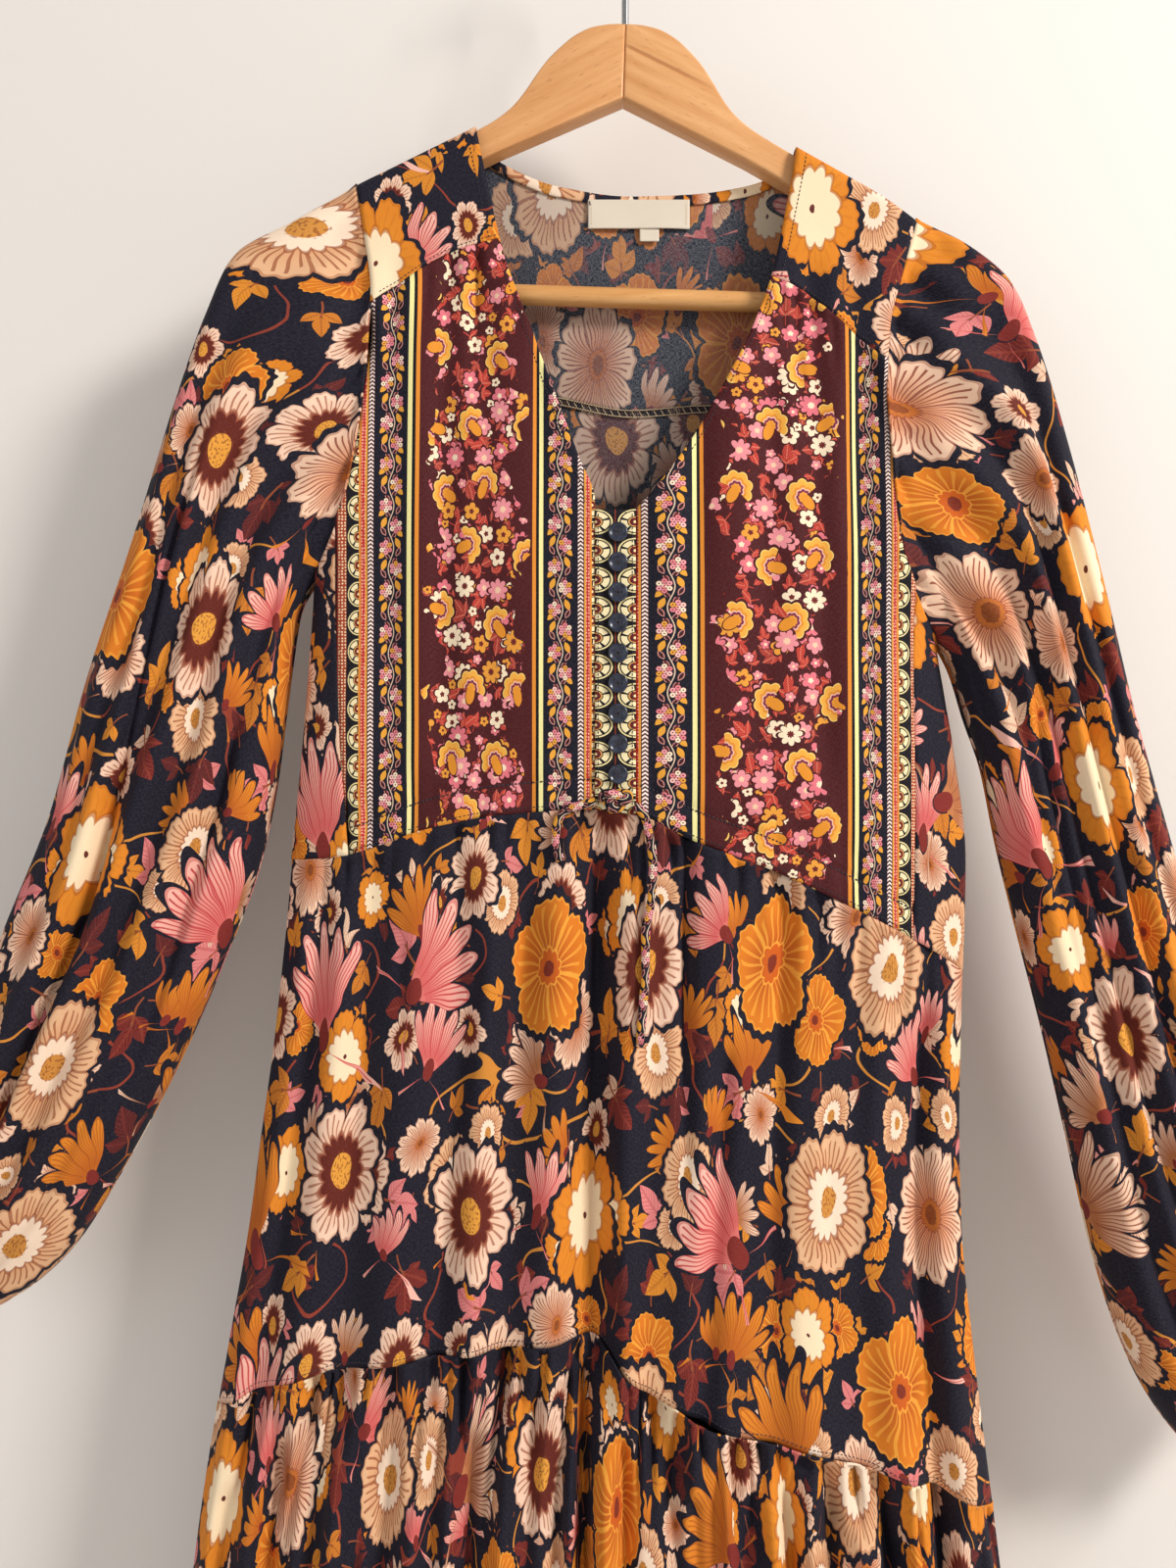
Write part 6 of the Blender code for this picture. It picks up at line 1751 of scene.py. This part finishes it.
for word, sections, armhole, start, grain in (
    ("left", LEFT_SLEEVE, left_armhole, (15, 120), (-0.40, -1.0)),
    ("right", RIGHT_SLEEVE, right_armhole, (525, 330), (0.32, -1.0)),
):
    for side_word, side, seed, shift in (("front", -1, 61, 0), ("back", 1, 71, 240)):
        grid = sleeve_grid(sections, armhole, side, seed + (5 if word == "right" else 0))
        cloth_piece(f"cloth_sleeve_{side_word}_{word}", grid, (start[0] + shift, start[1]),
                    [floral_cloth, floral_inside], f"sleeve_{side_word}_{word}", side,
                    held="gathered", grain=grain)
    cuff_piece(word, sections)

# Skirt. Two tiers of the floral cloth. The upper one is gathered a little into
# the waist, and the lower one much more into the upper one.
TIER_SEAM = (
    SeamPoint(-245, -925), SeamPoint(-191, -901), SeamPoint(-126, -888),
    SeamPoint(-69, -881), SeamPoint(-22, -876), SeamPoint(10, -904),
    SeamPoint(67, -930), SeamPoint(111, -940), SeamPoint(152, -954),
    SeamPoint(218, -982),
)
HEM_Z = -1530.0
UPPER_TIER_FOLDS = (
    Fold(0.0, 0.0, 0), Fold(0.06, 0.05, 9), Fold(0.13, 0.16, 8),
    Fold(0.25, 0.29, 7), Fold(0.34, 0.37, 9), Fold(0.455, 0.49, 19),
    Fold(0.56, 0.57, 7), Fold(0.70, 0.71, 6), Fold(0.83, 0.83, 7),
    Fold(0.94, 0.925, 15), Fold(1.0, 1.0, 0),
)
LOWER_TIER_FOLDS = (
    Fold(0.0, 0.0, 0), Fold(0.045, 0.04, 11), Fold(0.10, 0.09, 17),
    Fold(0.15, 0.145, 12), Fold(0.20, 0.20, 9), Fold(0.245, 0.245, 18),
    Fold(0.30, 0.30, 14), Fold(0.35, 0.36, 15), Fold(0.41, 0.41, 11),
    Fold(0.445, 0.45, 13), Fold(0.485, 0.48, 23), Fold(0.535, 0.54, 15),
    Fold(0.59, 0.59, 14), Fold(0.64, 0.64, 13), Fold(0.69, 0.69, 10),
    Fold(0.735, 0.73, 20), Fold(0.79, 0.79, 15), Fold(0.86, 0.855, 20),
    Fold(0.92, 0.915, 22), Fold(0.96, 0.965, 12), Fold(1.0, 1.0, 0),
)
BACK_UPPER_FOLDS = (
    Fold(0.0, 0.0, 0), Fold(0.2, 0.19, 4), Fold(0.38, 0.40, 5),
    Fold(0.62, 0.60, 5), Fold(0.8, 0.81, 4), Fold(1.0, 1.0, 0),
)
BACK_LOWER_FOLDS = (
    Fold(0.0, 0.0, 0), Fold(0.09, 0.10, 8), Fold(0.20, 0.19, 6),
    Fold(0.29, 0.30, 9), Fold(0.40, 0.39, 7), Fold(0.51, 0.50, 8),
    Fold(0.60, 0.61, 6), Fold(0.70, 0.69, 9), Fold(0.80, 0.81, 7),
    Fold(0.91, 0.90, 8), Fold(1.0, 1.0, 0),
)
tier_seam = height_at(TIER_SEAM)


def tier_points(share, down, top, bottom):
    """Front-view points of a skirt tier."""
    z = np.full(np.broadcast(share, down).shape, float(top(0)))
    for _ in range(10):
        x = mix(left_edge(z), right_edge(z), share)
        z = mix(top(x), bottom(x), down)
    return x, z


def upper_grid(side, depth_at, folds, columns, rows, seed):
    share = np.linspace(0, 1, columns + 1)[None, :]
    down = np.linspace(0, 1, rows + 1)[:, None]
    x, z = tier_points(share, down, waist_seam, tier_seam)
    sink = fold_depth(folds, share, down) * ease(down / 0.35 + 0.25)
    if side < 0:
        sink = sink + (1 - ease(down / 0.1)) * gathers(x, z)
    round_here = roundness(x, z)
    small = creases(share * 420, down * 330, 11, 3.0, 4.2, 36, seed) * ease(down / 0.02 + 0.1)
    long_ones = creases(share * 420, down * 330, 27, 5.0, 8.0, 240, seed + 6, late=120)
    sink = sink + (small + long_ones) * round_here
    y = side * np.maximum(depth_at(z) * round_here - sink + 1.2 * round_here, 0.5)
    return np.stack([x, y, z], -1)


def lower_grid(side, depth_at, upper_folds, folds, columns, rows, seed):
    share = np.linspace(0, 1, columns + 1)[None, :]
    down = (np.linspace(0, 1, rows + 1) ** 1.15)[:, None]
    x, z = tier_points(share, down, tier_seam, level(HEM_Z))
    at_seam = fold_depth(upper_folds, share, 1.0)
    below = fold_depth(folds, share, down) * mix(0.75, 1.25, down)
    sink = mix(at_seam, below, ease(down / 0.09))
    round_here = roundness(x, z)
    small = creases(share * 490, down * 600, 7.5, 2.3, 7.5, 46, seed) * ease(down / 0.008 + 0.1)
    middle = creases(share * 490, down * 600, 17, 4.4, 12.0, 400, seed + 7, late=50)
    sink = sink + (small + middle) * round_here
    y = side * np.maximum(depth_at(z) * round_here - sink + 3.0 * round_here, 0.5)
    return np.stack([x, y, z], -1)


for word, side, depth_at, upper_folds, lower_folds, seed in (
    ("front", -1, front_depth, UPPER_TIER_FOLDS, LOWER_TIER_FOLDS, 81),
    ("back", 1, back_depth, BACK_UPPER_FOLDS, BACK_LOWER_FOLDS, 91),
):
    upper = upper_grid(side, depth_at, upper_folds, 220 if side < 0 else 150, 100, seed)
    cloth_piece(f"cloth_skirt_upper_{word}", upper, (0 if side < 0 else 700, 260),
                [floral_cloth, floral_inside], f"skirt_upper_{word}", side, held="gathered")
    lower = lower_grid(side, depth_at, upper_folds, lower_folds, 340 if side < 0 else 240, 110, seed + 20)
    cloth_piece(f"cloth_skirt_lower_{word}", lower, (330 if side < 0 else 1100, -200),
                [floral_cloth, floral_inside], f"skirt_lower_{word}", side, held="gathered")
    stitch_row(f"tier_stitches_{word}", upper[-2], side)
    stitch_row(f"hem_stitches_{word}", lower[-5], side)
